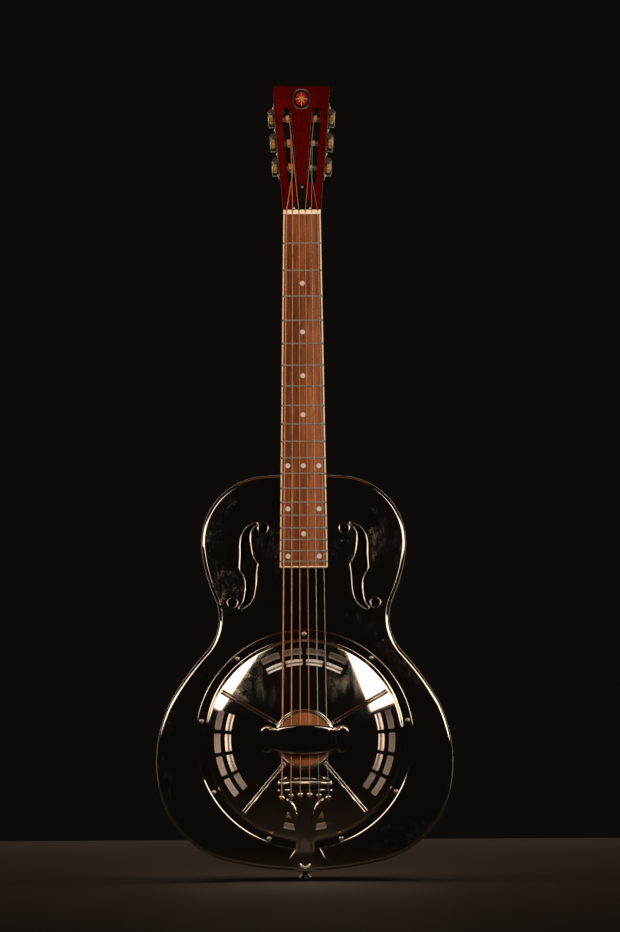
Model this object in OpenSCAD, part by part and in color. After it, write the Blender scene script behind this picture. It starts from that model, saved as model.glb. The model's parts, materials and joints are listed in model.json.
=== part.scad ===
// Single-cone resonator guitar with a metal body, a slotted headstock and a biscuit bridge.
// Frame: origin at the tail on the body's long axis, +Z along the neck, -Y is the front, +X the treble side.
// Millimetres.

/* [Body outline] */
// Radius of the tail edge
tail_r = 383; // [360:1:400]
// Turn of the tail edge, degrees
tail_turn = 14.5; // [13:0.5:16]
// Radius of the lower corner
lower_corner_r = 109; // [104:1:114]
// Turn of the lower corner, degrees
lower_corner_turn = 59.5; // [58:0.5:61]
// Radius of the lower bout
lower_bout_r = 159; // [154:1:164]
// Turn of the lower bout, degrees
lower_bout_turn = 48; // [46:0.5:50]
// Radius of the run into the waist
flank_r = 328; // [310:1:345]
// Turn of the run into the waist, degrees
flank_turn = 10.4; // [9:0.1:12]
// Radius of the waist, which curves the other way
waist_r = 61; // [57:1:65]
// Turn of the waist, degrees
waist_turn = 66.6; // [64:0.1:68]
// Radius of the upper bout
upper_bout_r = 192; // [185:1:200]
// Turn of the upper bout, degrees
upper_bout_turn = 18.3; // [17:0.1:20]
// Radius of the shoulder
shoulder_r = 81.6; // [79:0.1:84]
// Turn of the shoulder, degrees
shoulder_turn = 91.3; // [90:0.1:93]

/* [Body] */
// Depth of the body over both plates
body_depth = 83; // [76:1:92]
// Thickness of the sheet metal
sheet_t = 1.2; // [0.8:0.1:1.6]
// Height of the cone's centre above the tail
well_z = 157.5; // [155:0.5:160]
// Radius of the round opening in the top
well_r = 121; // [119:0.5:122]
// Depth of the soundwell below the top
well_depth = 22; // [20:1:24]

/* [Coverplate] */
// Radius of the coverplate
cover_r = 132.3; // [130:0.1:134]
// Thickness of the coverplate
cover_t = 1; // [0.8:0.1:1.2]
// Height that the dome would reach at its centre
dome_h = 12; // [11:0.5:12.5]
// Radius of the dome's curve
dome_r = 920; // [880:10:1000]
// Radius where the dome meets the step of the rim
dome_edge_r = 117.5; // [116:0.5:118.5]
// Radius of the hole over the biscuit
cover_hole_r = 33; // [32.5:0.1:34]
// Number of coverplate screws
cover_screws = 9; // [6:1:12]
// Radius of the screw circle
screw_circle_r = 127; // [126:0.5:128]

/* [Neck] */
// Scale length from nut to saddle
scale_len = 648; // [640:1:655]
// Number of frets
fret_count = 19; // [17:1:19]
// Backward tilt of the neck, degrees
neck_angle = 1.2; // [0.8:0.1:1.4]
// Height of the fretboard's face over the top plate at the body joint
board_rise = 7; // [6.8:0.1:7.4]
// Thickness of the fretboard
board_t = 6.5; // [6:0.1:6.7]
// Width of the neck at the nut
nut_w = 46.2; // [45:0.1:48]
// Width of the neck at the twelfth fret
joint_w = 55.1; // [54:0.1:57]
// Length of the fretboard from nut to end
board_len = 439; // [437:1:442]

/* [Headstock] */
// Backward tilt of the headstock, degrees
head_angle = 14; // [12:0.5:15]
// Length of the headstock from the nut
head_len = 179; // [175:1:185]
// Width of the headstock at its tip
head_tip_w = 72; // [70:0.5:74]
// Thickness of the headstock
head_t = 16; // [15.5:0.5:17]
// Distance from the nut to the first pair of rollers
roller_z = 65; // [64:0.5:66]
// Spacing of the tuners
tuner_pitch = 35; // [34.5:0.5:35.5]

/* [Strings] */
// Spread of the outer strings at the nut
nut_spread = 38.6; // [36:0.1:39]
// Spread of the outer strings at the saddle
saddle_spread = 54; // [52:0.5:55]
// Spread of the outer strings at the tailpiece
tail_spread = 56.4; // [55:0.1:57]

/* [Hidden] */
$fn = 48;
eps = 0.02;

gear_teeth = 14;
gear_module = 0.75;
worm_r = 3.2;

strings = ["string_e2", "string_a2", "string_d3", "string_g3", "string_b3", "string_e4"];
string_r = [0.7, 0.56, 0.45, 0.35, 0.22, 0.17];
tuner_names = ["e2", "a2", "d3", "g3", "b3", "e4"];

// ---- body outline: a chain of arcs, each tangent to the one before ----

body_arcs = [
    [tail_r, tail_turn], [lower_corner_r, lower_corner_turn], [lower_bout_r, lower_bout_turn],
    [flank_r, flank_turn], [-waist_r, -waist_turn], [upper_bout_r, upper_bout_turn],
    [shoulder_r, shoulder_turn]];

// One point of an arc that starts at p with heading h, has radius r and has turned by a
function arc_point(p, h, r, a) = p + r * [sin(h + a) - sin(h), cos(h) - cos(h + a)];
function arc_steps(a) = max(2, ceil(abs(a) / 6));
function arc_chain(arcs, inset, p, h, i = 0) =
    i == len(arcs)
        ? let (rest = 180 - h, r = p[0] / sin(rest))
            [for (k = [1 : 2]) arc_point(p, h, r, rest * k / 2)]
        : let (r = arcs[i][0] - inset, a = arcs[i][1], n = arc_steps(a))
            concat([for (k = [1 : n]) arc_point(p, h, r, a * k / n)],
                arc_chain(arcs, inset, arc_point(p, h, r, a), h + a, i + 1));
// Half of the outline, drawn in by inset, from the tail to the top
function half_outline(inset) = concat([[0, inset]], arc_chain(body_arcs, inset, [0, inset], 0));
function outline(inset) =
    let (half = half_outline(inset), n = len(half))
        concat(half, [for (k = [n - 2 : -1 : 1]) [-half[k][0], half[k][1]]]);

half_points = half_outline(0);
body_len = half_points[len(half_points) - 1][1];
front_y = -body_depth / 2;
back_y = body_depth / 2;
rim_y = front_y + sheet_t;

// ---- general shapes ----

// A 2-D shape in the XZ plane, as a slab from y to y + t
module slab(y, t) {
    translate([0, y + t, 0])
        rotate([90, 0, 0])
            linear_extrude(t)
                children();
}
// A 2-D shape drawn as (y, z), as a slab of width w centred on x = 0
module side_profile(w) {
    translate([-w / 2, 0, 0])
        rotate([90, 0, 90])
            linear_extrude(w)
                children();
}
// A cylinder along Y from y to y + h, at x and z
module rod_y(x, y, z, r, h) {
    translate([x, y, z])
        rotate([-90, 0, 0])
            cylinder(r = r, h = h);
}
// A cylinder along X from x to x + h, at y and z
module rod_x(x, y, z, r, h) {
    translate([x, y, z])
        rotate([0, 90, 0])
            cylinder(r = r, h = h);
}
// A profile of (radius, height over the top plate), turned about the cone's axis
module turned() {
    translate([0, front_y, well_z])
        rotate([90, 0, 0])
            rotate_extrude($fn = 96)
                children();
}
// Smooth points through a list, n to each stretch
function spline_at(a, b, c, d, t) =
    0.5 * (2 * b + (c - a) * t + (2 * a - 5 * b + 4 * c - d) * t * t
        + (3 * b - a - 3 * c + d) * t * t * t);
function spline(p, n) =
    let (m = len(p) - 1)
        concat([for (i = [0 : m - 1], k = [0 : n - 1])
            spline_at(p[max(i - 1, 0)], p[i], p[i + 1], p[min(i + 2, m)], k / n)], [p[m]]);
function mirrored(p) = [for (k = [len(p) - 1 : -1 : 0]) [-p[k][0], p[k][1]]];

// ---- body ----

// Half-width is x and height over the tail is z in the F-hole's points.
upper_eye = [49.7, 413.8];
lower_eye = [87.2, 322.4];
eye_r = 5.3;
// The F-hole's outer edge, from the upper eye down, in two runs that meet at a nick
f_outer_top = [[57.2, 420.4], [63.4, 418.2], [69, 414.3], [74.4, 406.3], [76.8, 394.5], [76.9, 380],
    [77.8, 365]];
f_outer_low = [[77.4, 362.4], [74.2, 358], [71.5, 351], [70.6, 342.5], [71, 333.5], [73.4, 323.5],
    [78.7, 316.4]];
// Its inner edge, from the lower eye up
f_inner_low = [[78.4, 315.4], [76.2, 315.2], [71.4, 318], [65.9, 322.7], [62.1, 329], [60.1, 336.8],
    [59.2, 345], [58.8, 355], [57.2, 369]];
f_inner_top = [[57.8, 370.6], [61, 375.3], [63.8, 382.3], [65.4, 391], [66.2, 401], [65, 409.9],
    [61.5, 415.6], [57.2, 419.4]];

module f_hole(side) {
    edge = concat(spline(f_outer_top, 2), spline(f_outer_low, 2),
        spline(f_inner_low, 2), spline(f_inner_top, 2));
    slab(front_y - 1, sheet_t + 2)
        polygon([for (p = edge) [side * p[0], p[1]]]);
    for (eye = [upper_eye, lower_eye])
        rod_y(side * eye[0], front_y - 1, eye[1], eye_r, sheet_t + 2);
}
function screw_spot(k) =
    let (a = 90 + k * 360 / cover_screws)
        [screw_circle_r * cos(a), well_z + screw_circle_r * sin(a)];

module body_top() color("silver") difference() {
    slab(front_y, sheet_t)
        polygon(outline(0));
    rod_y(0, front_y - 1, well_z, well_r, sheet_t + 2);
    for (side = [-1, 1])
        f_hole(side);
    for (k = [0 : cover_screws - 1])
        rod_y(screw_spot(k)[0], front_y - 1, screw_spot(k)[1], cover_screw_r + eps, sheet_t + 2);
}
stick_w = 32;
stick_d = 24;
window_d = stick_d + 2 * eps;
pin_r = 4.5;
module body_sides() color("silver") difference() {
    slab(rim_y, body_depth - 2 * sheet_t)
        polygon(outline(0));
    slab(front_y, body_depth)
        polygon(outline(sheet_t));
    translate([-stick_w / 2 - eps, -window_d / 2, body_len - 20])
        cube([stick_w + 2 * eps, window_d, 40]);
    translate([0, 0, -5])
        cylinder(r = pin_r + eps, h = 10);
}
module body_back() color("silver")
    slab(back_y - sheet_t, sheet_t)
        polygon(outline(0));

ledge_r = 108;
vent_r = 6;
vent_count = 12;
module soundwell() color("silver") difference() {
    turned()
        polygon([[well_r, -sheet_t], [well_r + 9, -sheet_t], [well_r + 9, -2 * sheet_t],
            [well_r + 1, -2 * sheet_t], [well_r + 1, -well_depth], [ledge_r, -well_depth],
            [ledge_r, 1 - well_depth], [well_r, 1 - well_depth]]);
    for (k = [0 : vent_count - 1])
        translate([0, front_y + well_depth / 2 + sheet_t, well_z])
            rotate([0, 15 + k * 360 / vent_count, 0])
                cylinder(r = vent_r, h = well_r + 10);
    for (k = [0 : cover_screws - 1])
        rod_y(screw_spot(k)[0], front_y, screw_spot(k)[1], cover_screw_r + eps, 3 * sheet_t);
}
// The curve of the coverplate's dome, and the surfaces under the strings
function dome(r) = dome_h - r * r / (2 * dome_r);

// ---- resonator ----

cone_t = 0.8;
cone_edge_r = well_r - 1;
cone_foot = 1 - well_depth;
biscuit_r = 31.5;
biscuit_t = 8.5;
biscuit_front = 12;
cone_top = biscuit_front - biscuit_t;
cone_step = cone_top - 10;
bolt_r = 1.75;
bolt_head_r = 3.5;
bolt_head_t = 2.2;
saddle_t = 3.2;
notch_depth = 0.5;
notch_ease = 0.15;
saddle_len = 59;
slot_depth = 4;

// The cone is convex toward the front; its apex carries the biscuit
module cone() color("gainsboro") difference() {
    turned()
        polygon([[0, cone_top], [33, cone_top], [70, cone_step], [111, cone_foot + cone_t],
            [cone_edge_r, cone_foot + cone_t], [cone_edge_r, cone_foot], [110.6, cone_foot],
            [70, cone_step - cone_t], [33, cone_top - cone_t], [0, cone_top - cone_t]]);
    bolt_hole();
}
module bolt_hole()
    rod_y(0, front_y - cone_top - 5, well_z, bolt_r + eps, 20);
module biscuit() color("tan") difference() {
    turned()
        translate([0, cone_top])
            square([biscuit_r, biscuit_t]);
    translate([-saddle_len / 2, front_y - biscuit_front - 1, saddle_z - saddle_t / 2])
        cube([saddle_len, slot_depth + 1, saddle_t]);
    bolt_hole();
}
module biscuit_screw() color("silver") {
    rod_y(0, front_y - cone_top - 3, well_z, bolt_r, 3 + cone_t);
    rod_y(0, front_y - cone_top + cone_t, well_z, bolt_head_r, bolt_head_t);
}
module saddle() color("wheat") difference() {
    translate([-saddle_len / 2, front_y - saddle_h - notch_depth, saddle_z - saddle_t / 2])
        cube([saddle_len, saddle_h + notch_depth - biscuit_front + slot_depth, saddle_t]);
    for (i = [0 : 5])
        translate([string_x(i, saddle_spread) - string_r[i] - eps, front_y - saddle_h - 5,
            saddle_z - saddle_t])
            cube([2 * (string_r[i] + eps), 5 + notch_ease, 2 * saddle_t]);
}

// ---- coverplate ----

cover_screw_r = 1.3;
cover_screw_head_r = 3;
cover_screw_head_t = 1.2;
cover_screw_len = 7;
rib_w = 4.4;
rib_h = 1.3;
rib_angles = [30, 150, 230, 310];
lip_h = 1;
lip_t = 1;
// Slots stand in two rows; each group has slots at these places, in pitches from its centre
slot_rows = [[102, 7.5], [89, 7.5]];
slot_turn = 12.6;
slot_pitch = 15.2;
full_groups = [90, 190, 350];
full_places = [-1.5, -0.5, 0.5, 1.5];
tail_places = [-0.5, 0.5];

module cover_shell() {
    dome_r_list = [for (k = [0 : 8]) dome_edge_r - k * (dome_edge_r - cover_hole_r - lip_t) / 8];
    upper = [for (r = dome_r_list) [r, dome(r)]];
    lower = [for (k = [8 : -1 : 1]) [dome_r_list[k], dome(dome_r_list[k]) - cover_t]];
    lip_top = dome(cover_hole_r) + lip_h;
    turned()
        polygon(concat(
            [[cover_r, 0], [cover_r, cover_t], [dome_edge_r + 3, cover_t]], upper,
            [[cover_hole_r + lip_t, lip_top], [cover_hole_r, lip_top],
                [cover_hole_r, dome(cover_hole_r) - cover_t]],
            lower,
            [[dome_edge_r - cover_t / 2, dome(dome_edge_r) - cover_t], [dome_edge_r + 2.4, 0]]));
}
module cover_ribs() {
    intersection() {
        turned()
            polygon([[cover_hole_r + 2, dome(35) - 0.5], [dome_edge_r - 1, dome(116) - 0.5],
                [dome_edge_r - 1, dome(116) + rib_h], [80, dome(80) + rib_h],
                [cover_hole_r + 2, dome(35) + rib_h]]);
        for (a = rib_angles)
            translate([0, front_y, well_z])
                rotate([0, -a, 0])
                    translate([0, -30, -rib_w / 2])
                        cube([cover_r, 60, rib_w]);
    }
}
module cover_slot(a, row) {
    translate([0, front_y, well_z])
        rotate([0, slot_turn / 2 - a, 0])
            rotate([90, 0, 0])
                rotate_extrude(angle = slot_turn, $fn = 96)
                    translate([row[0], 1])
                        square([row[1], 20]);
}
module coverplate() color("silver") difference() {
    union() {
        cover_shell();
        cover_ribs();
    }
    for (row = slot_rows) {
        for (g = full_groups, p = full_places)
            cover_slot(g + p * slot_pitch, row);
        for (p = tail_places)
            cover_slot(270 + p * slot_pitch, row);
    }
    for (k = [0 : cover_screws - 1])
        rod_y(screw_spot(k)[0], front_y - 5, screw_spot(k)[1], cover_screw_r + eps, 6);
}
module coverplate_screws() color("silver")
    for (k = [0 : cover_screws - 1]) {
        x = screw_spot(k)[0];
        z = screw_spot(k)[1];
        rod_y(x, front_y - cover_t, z, cover_screw_r, cover_screw_len);
        rod_y(x, front_y - cover_t - cover_screw_head_t, z, cover_screw_head_r, cover_screw_head_t);
    }

// ---- palm rest: a bridge over the saddle, on two ears ----

rest_w = 107;
rest_crown = 31;
rest_t = 1.8;
barrel_half = 37.5;
barrel_mid = 17.4;
barrel_end = 13.4;
ear_half_h = 16.4;
ear_r = 8;
// Half of the bridge seen from the tail, as (x, height over the top): outside, then inside
rest_outside = [[rest_w / 2, 8], [rest_w / 2, 12.2], [44, 12.8], [43, 15.4], [41.4, 16], [40.6, 19.6],
    [39.2, 20.2], [38.2, 24.2], [36.9, 24.8], [36, 28.4], [18, 30.4]];
rest_inside = [[17, 28.8], [34.4, 27], [36.4, 19], [39.6, 12], [40, 8]];
module palm_rest() color("silver") difference() {
    intersection() {
        translate([0, front_y, well_z - 25])
            rotate([0, 0, 180])
                linear_extrude(50)
                    polygon(concat(rest_outside, [[0, rest_crown]], mirrored(rest_outside),
                        mirrored(rest_inside), [[0, rest_crown - rest_t]], rest_inside));
        slab(front_y - 50, 60)
            translate([0, well_z])
                rest_plan();
    }
    turned()
        polygon([[0, -5], [75, -5], [75, dome(75) + 0.05], [56, dome(56) + 0.05],
            [45, dome(45) + 0.05], [36, dome(36) + 0.05], [0, dome(36) + 0.05]]);
}
// A quarter of the rest seen from the front, from its middle to the tip of one ear
ear_x = 43;
rest_quarter = concat(
    [for (k = [0 : 6]) let (x = k * barrel_half / 6)
        [x, barrel_mid - (barrel_mid - barrel_end) * pow(x / barrel_half, 2)]],
    [[ear_x, barrel_end], [ear_x, ear_half_h]],
    [for (a = [90 : -15 : 0])
        [rest_w / 2 - ear_r + ear_r * cos(a), ear_half_h - ear_r + ear_r * sin(a)]]);
module rest_plan() {
    n = len(rest_quarter);
    polygon(concat(rest_quarter,
        [for (k = [n - 1 : -1 : 0]) [rest_quarter[k][0], -rest_quarter[k][1]]],
        [for (k = [1 : n - 1]) [-rest_quarter[k][0], -rest_quarter[k][1]]],
        [for (k = [n - 1 : -1 : 1]) [-rest_quarter[k][0], rest_quarter[k][1]]]));
}

// ---- tailpiece and end pin ----

strap_t = 1.5;
tail_lug = 9;
anchor_r = 2.9;
ball_r = 2;
ball_len = 3.2;
function ball_z(x) = 89.6 - 3.4 * pow(2 * x / tail_spread, 2);
// The strap's underside as (height over the tail, height over the top plate)
strap_path = [[-strap_t, 0.1], [22, 0.3], [27, 1.6], [38, 5.6], [60, 8.2], [82, 10.4], [113, 12.6]];
strap_half = [[11.5, -10], [11.5, 22], [12.4, 40], [16, 60], [23, 74], [31, 82], [33.5, 92],
    [33.2, 103], [28, 110], [14, 112.4]];
module tailpiece() color("silver") difference() {
    union() {
        intersection() {
            side_profile(80)
                polygon(concat([for (p = strap_path) [front_y - p[1], p[0]]],
                    [for (k = [len(strap_path) - 1 : -1 : 0])
                        [front_y - strap_path[k][1] - strap_t, strap_path[k][0]]]));
            slab(front_y - 30, 40)
                polygon(concat(spline(strap_half, 3), [[0, 113]], mirrored(spline(strap_half, 3))));
        }
        translate([-11.5, front_y - 1, -strap_t])
            cube([23, body_depth / 2 + tail_lug + 1, strap_t]);
    }
    translate([0, 0, -10])
        cylinder(r = pin_r + eps, h = 20);
    for (i = [0 : 5])
        rod_y(string_x(i, tail_spread), front_y - 20, ball_z(string_x(i, tail_spread)), anchor_r, 20);
}
pin_flange_r = 7;
pin_flange_z = -9;
pin_screw_r = 2.6;
pin_screw_len = 28;
module end_pin() color("silver") {
    translate([0, 0, pin_flange_z])
        cylinder(r = pin_r, h = sheet_t - pin_flange_z);
    rotate_extrude()
        polygon([[0, pin_flange_z], [5.4, pin_flange_z], [pin_flange_r, pin_flange_z - 1.4],
            [pin_flange_r, pin_flange_z - 2.4], [5, pin_flange_z - 3.5], [0, pin_flange_z - 3.5]]);
    translate([0, 0, sheet_t])
        cylinder(r = pin_screw_r, h = pin_screw_len);
}

// ---- neck stick inside the body ----

block_w = 30;
block_h = 20;
stick_end = sheet_t + 1;
module neck_stick() color("peru") difference() {
    translate([-stick_w / 2, -stick_d / 2, stick_end])
        cube([stick_w, stick_d, body_len - stick_end]);
    cylinder(r = pin_screw_r + eps, h = sheet_t + pin_screw_len + 1);
}
module stick_supports() color("peru") {
    for (z = [60, 240, 400])
        translate([-block_w / 2, stick_d / 2, z])
            cube([block_w, back_y - sheet_t - stick_d / 2, block_h]);
    for (z = [320, 420])
        translate([-block_w / 2, rim_y, z])
            cube([block_w, -stick_d / 2 - rim_y, block_h]);
}

// ---- neck: its own frame has z = 0 at the body joint and y = 0 on the fretboard's face ----

nut_z = scale_len / 2;
nut_t = 5.5;
board_end = nut_z - board_len;
module neck_space()
    translate([0, front_y - board_rise, body_len])
        rotate([-neck_angle, 0, 0])
            children();
module head_space()
    neck_space()
        translate([0, board_t, nut_z + nut_t])
            rotate([-head_angle, 0, 0])
                children();
// A point of the neck's frame, and of the headstock's frame, in the guitar's frame
function from_neck(p) = [p[0],
    front_y - board_rise + p[1] * cos(neck_angle) + p[2] * sin(neck_angle),
    body_len - p[1] * sin(neck_angle) + p[2] * cos(neck_angle)];
function from_head(p) = from_neck([p[0],
    board_t + p[1] * cos(head_angle) + p[2] * sin(head_angle),
    nut_z + nut_t - p[1] * sin(head_angle) + p[2] * cos(head_angle)]);
function neck_w(z) = nut_w + (joint_w - nut_w) * (nut_z - z) / nut_z;

// A slice of the neck's back: half an ellipse of width w and depth d
module neck_slice(z, w, d, t = 0.5)
    translate([0, board_t, z])
        linear_extrude(t)
            polygon([for (k = [0 : 16]) [w / 2 * cos(k * 180 / 16), d * pow(sin(k * 180 / 16), 0.85)]]);
rod_r = 2.5;
rod_depth = 7.5;
channel_w = 6;
heel_slices = [[52, 17], [26, 24], [10, 42], [-2, 66]];
module neck() color("maroon") difference() {
    neck_space() difference() {
        union() {
            for (k = [0 : 2])
                hull() {
                    neck_slice(heel_slices[k][0], neck_w(heel_slices[k][0]), heel_slices[k][1]);
                    neck_slice(heel_slices[k + 1][0], neck_w(max(heel_slices[k + 1][0], 0)),
                        heel_slices[k + 1][1]);
                }
            hull() {
                neck_slice(heel_slices[0][0], neck_w(heel_slices[0][0]), heel_slices[0][1]);
                neck_slice(300, neck_w(300), 14.5);
            }
            hull() {
                neck_slice(300, neck_w(300), 14.5);
                translate([0, board_t, nut_z + nut_t])
                    rotate([-head_angle, 0, 0])
                        translate([-head_root_w / 2, 0, -2])
                            cube([head_root_w, head_t, 2]);
            }
        }
        translate([-channel_w / 2, 0, 15])
            cube([channel_w, board_t + rod_depth + channel_w / 2, nut_z]);
        translate([-nut_w, -board_t, 0])
            cube([2 * nut_w, 2 * board_t, nut_z + nut_t]);
    }
    translate([-100, -100, body_len - 100])
        cube([200, 200, 100]);
}
// The fretboard's side view as (y, z); its extension lies on the top plate
function board_under(z) = (board_rise - z * sin(neck_angle)) / cos(neck_angle) - eps;
module board_profile()
    side_profile(100)
        polygon([[0, board_end], [0, nut_z], [board_t, nut_z], [board_t, 0],
            [board_under(0), 0], [board_under(board_end), board_end]]);
module board_plan(inset)
    slab(-5, 30)
        polygon([[-neck_w(board_end) / 2 + inset, board_end + inset],
            [neck_w(board_end) / 2 - inset, board_end + inset],
            [nut_w / 2 - inset, nut_z + 1], [-nut_w / 2 + inset, nut_z + 1]]);
binding_t = 1.5;
function fret_z(n) = nut_z - scale_len * (1 - pow(2, -n / 12));
fret_r = 1.25;
fret_drop = 0.05;
tang_t = 0.6;
tang_depth = 2.2;
dot_r = 3;
dot_t = 1.5;
dot_spread = 19;
single_dots = [3, 5, 7, 9, 12, 17];
double_dots = [12, 15, 19];
module fret_tangs(gap)
    for (n = [1 : fret_count])
        translate([-neck_w(fret_z(n)) / 2 + 2 - gap, -eps, fret_z(n) - tang_t / 2 - gap])
            cube([neck_w(fret_z(n)) - 4 + 2 * gap, tang_depth + gap, tang_t + 2 * gap]);
module dots(gap) {
    for (n = single_dots)
        rod_y(0, -gap, (fret_z(n) + fret_z(n - 1)) / 2, dot_r + gap, dot_t + 2 * gap);
    for (n = double_dots, side = [-1, 1])
        rod_y(side * dot_spread, -gap, (fret_z(n) + fret_z(n - 1)) / 2, dot_r + gap, dot_t + 2 * gap);
}
module fretboard() color("saddlebrown") neck_space() difference() {
    intersection() {
        board_profile();
        board_plan(binding_t);
    }
    fret_tangs(eps);
    dots(eps);
}
module fretboard_binding() color("ivory") neck_space() difference() {
    intersection() {
        board_profile();
        board_plan(0);
    }
    board_plan(binding_t);
}
module frets() color("gainsboro") neck_space() {
    intersection() {
        for (n = [1 : fret_count])
            rod_x(-neck_w(fret_z(n)) / 2 + 0.3, fret_drop, fret_z(n), fret_r, neck_w(fret_z(n)) - 0.6);
        translate([-50, -5, -200])
            cube([100, 5 - eps, 600]);
    }
    fret_tangs(0);
}
module position_dots() color("white") neck_space()
    dots(0);
nut_top = -2.4;
groove_ease = 1.4;
groove_fall = 2.5;
// Each string leaves the nut's groove at its front edge and falls away toward its roller
module nut() color("ivory") neck_space() difference() {
    translate([-nut_w / 2, nut_top, nut_z + eps])
        cube([nut_w, board_t - nut_top, nut_t - 2 * eps]);
    for (i = [0 : 5])
        translate([string_x(i, nut_spread), 0, 0])
            side_profile(2 * string_r[i] + groove_ease)
                polygon([[-nut_rise + eps, nut_z - 1], [-nut_rise + eps, nut_z + 1],
                    [groove_fall - nut_rise, nut_z + nut_t + 1], [nut_top - 1, nut_z + nut_t + 1],
                    [nut_top - 1, nut_z - 1]]);
}

// ---- truss rod ----

rod_y0 = board_t + rod_depth;
rod_top = nut_z + 17;
truss_nut_z = nut_z + 8;
truss_nut_len = 8;
truss_nut_r = 4;
module truss_rod() color("dimgray") neck_space()
    translate([0, rod_y0, 16])
        cylinder(r = rod_r, h = rod_top - 16);
module truss_rod_nut() color("goldenrod") neck_space()
    translate([0, rod_y0, truss_nut_z]) difference() {
        cylinder(r = truss_nut_r, h = truss_nut_len, $fn = 6);
        translate([0, 0, -1])
            cylinder(r = rod_r + 0.05, h = truss_nut_len + 2);
    }
guard_t = 2;
guard_end_r = 4.3;
guard_screws = [[0, 33.6], [10.3, 3.8], [-10.3, 3.8]];
guard_screw_r = 1.2;
guard_half = [[13.6, 0.6], [13.2, 6], [9.6, 12], [5.8, 17], [4.3, 23], [4.3, 34]];
module truss_rod_cover() color("black") head_space() difference() {
    slab(-guard_t, guard_t) {
        polygon(concat(spline(guard_half, 3), mirrored(spline(guard_half, 3))));
        translate([0, 34])
            circle(guard_end_r, $fn = 32);
    }
    for (s = guard_screws)
        rod_y(s[0], -5, s[1], guard_screw_r + eps, 10);
}
module truss_cover_screws() color("gainsboro") head_space()
    for (s = guard_screws) {
        rod_y(s[0], -guard_t, s[1], guard_screw_r, 7);
        rod_y(s[0], -guard_t - 0.9, s[1], 2.1, 0.9);
    }

// ---- headstock: its own frame has z = 0 at the nut and y = 0 on its face ----

head_root_w = 46.6;
side_angle = atan((head_tip_w - head_root_w) / 2 / head_len);
wall_t = 8.6;
slot_w = 12;
slot_z0 = 42;
slot_z1 = 148;
ramp_z = 35;
roller_bore_r = 3.4;
tip_len = 4;
pocket_w = 11;
pocket_z = 22;
badge_z = 160;
plate_screw_z = [55.5, 86, 121, 153];
plate_screw_r = 1.2;
plate_screw_len = 7;
// The frame of one long side: z runs along the side's edge, x is outward or inward of it
module side_space(side)
    head_space()
        translate([side * head_root_w / 2, 0, 0])
            rotate([0, side * side_angle, 0])
                children();
// A cylinder across the side, from a to b outward of it
module cross_rod(side, a, b, y, z, r)
    rod_x(side > 0 ? a : -b, y, z, r, b - a);
module slot_cut(side) {
    x0 = side > 0 ? -wall_t - slot_w : wall_t;
    mid = x0 + slot_w / 2;
    translate([x0, -5, slot_z0 + slot_w / 2])
        cube([slot_w, head_t + 10, slot_z1 - slot_z0 - slot_w]);
    for (z = [slot_z0 + slot_w / 2, slot_z1 - slot_w / 2])
        rod_y(mid, -5, z, slot_w / 2, head_t + 10);
    translate([mid, 0, 0])
        side_profile(slot_w)
            polygon([[-1, ramp_z - 1.5], [9, slot_z0 + slot_w / 2], [-1, slot_z0 + slot_w / 2]]);
}
module headstock() color("maroon") difference() {
    head_space()
        slab(0, head_t)
            polygon([[-head_root_w / 2, 0], [head_root_w / 2, 0],
                [head_tip_w / 2, head_len], [-head_tip_w / 2, head_len]]);
    head_space() {
        translate([-pocket_w / 2, -1, -1])
            cube([pocket_w, 13.5, pocket_z + 1]);
        for (s = guard_screws)
            rod_y(s[0], -1, s[1], guard_screw_r + eps, 7);
    }
    for (side = [-1, 1])
        side_space(side) {
            slot_cut(side);
            for (z = roller_places) {
                cross_rod(side, -wall_t - 1, 1, axis_y, z, roller_bore_r);
                cross_rod(side, -wall_t - slot_w - tip_len - 0.5, -wall_t - slot_w + 1, axis_y, z,
                    journal_r + run_gap);
            }
            for (z = plate_screw_z)
                cross_rod(side, -plate_screw_len, 1, axis_y, z, plate_screw_r + eps);
        }
}
badge_t = 1.2;
badge_half = [11, 14.7];
module headstock_badge() color("firebrick") head_space()
    slab(-badge_t, badge_t)
        translate([0, badge_z])
            polygon([for (k = [0 : 39]) let (a = k * 9)
                [badge_half[0] * sign(cos(a)) * pow(abs(cos(a)), 0.8),
                    badge_half[1] * sign(sin(a)) * pow(abs(sin(a)), 0.8)]]);

// ---- tuners ----

axis_y = head_t / 2;
roller_places = [for (k = [0 : 2]) (roller_z + k * tuner_pitch) / cos(side_angle)];
plate_t = 1.4;
plate_half = 6;
roller_r = 3;
journal_r = 2.5;
run_gap = 0.05;
gear_x = 5.6;
gear_t = 3.6;
gear_seat_r = 2.2;
gear_pitch_r = gear_teeth * gear_module / 2;
gear_tip_r = gear_pitch_r + 0.4;
gear_root_r = gear_pitch_r - 0.95;
tooth_tip_half = 0.15;
tooth_root_half = 0.85;
worm_drop = gear_pitch_r + worm_r;
worm_lead = PI * gear_module;
worm_offset = 0.65;
worm_len = 7.8;
shaft_r = 2;
lug_t = 1.4;
lug_half = 3.6;
lug_places = [axis_y - 5.7, axis_y + 4.3];
button_y = axis_y + 19;
button_r = 7.8;
button_t = 6.4;
button_neck_r = 3.4;
// Row of each tuner up the headstock, and its side
tuner_row = [0, 1, 2, 2, 1, 0];
function tuner_side(i) = i < 3 ? -1 : 1;
module tuner_space(i)
    side_space(tuner_side(i))
        translate([0, 0, roller_places[tuner_row[i]]])
            children();

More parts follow.
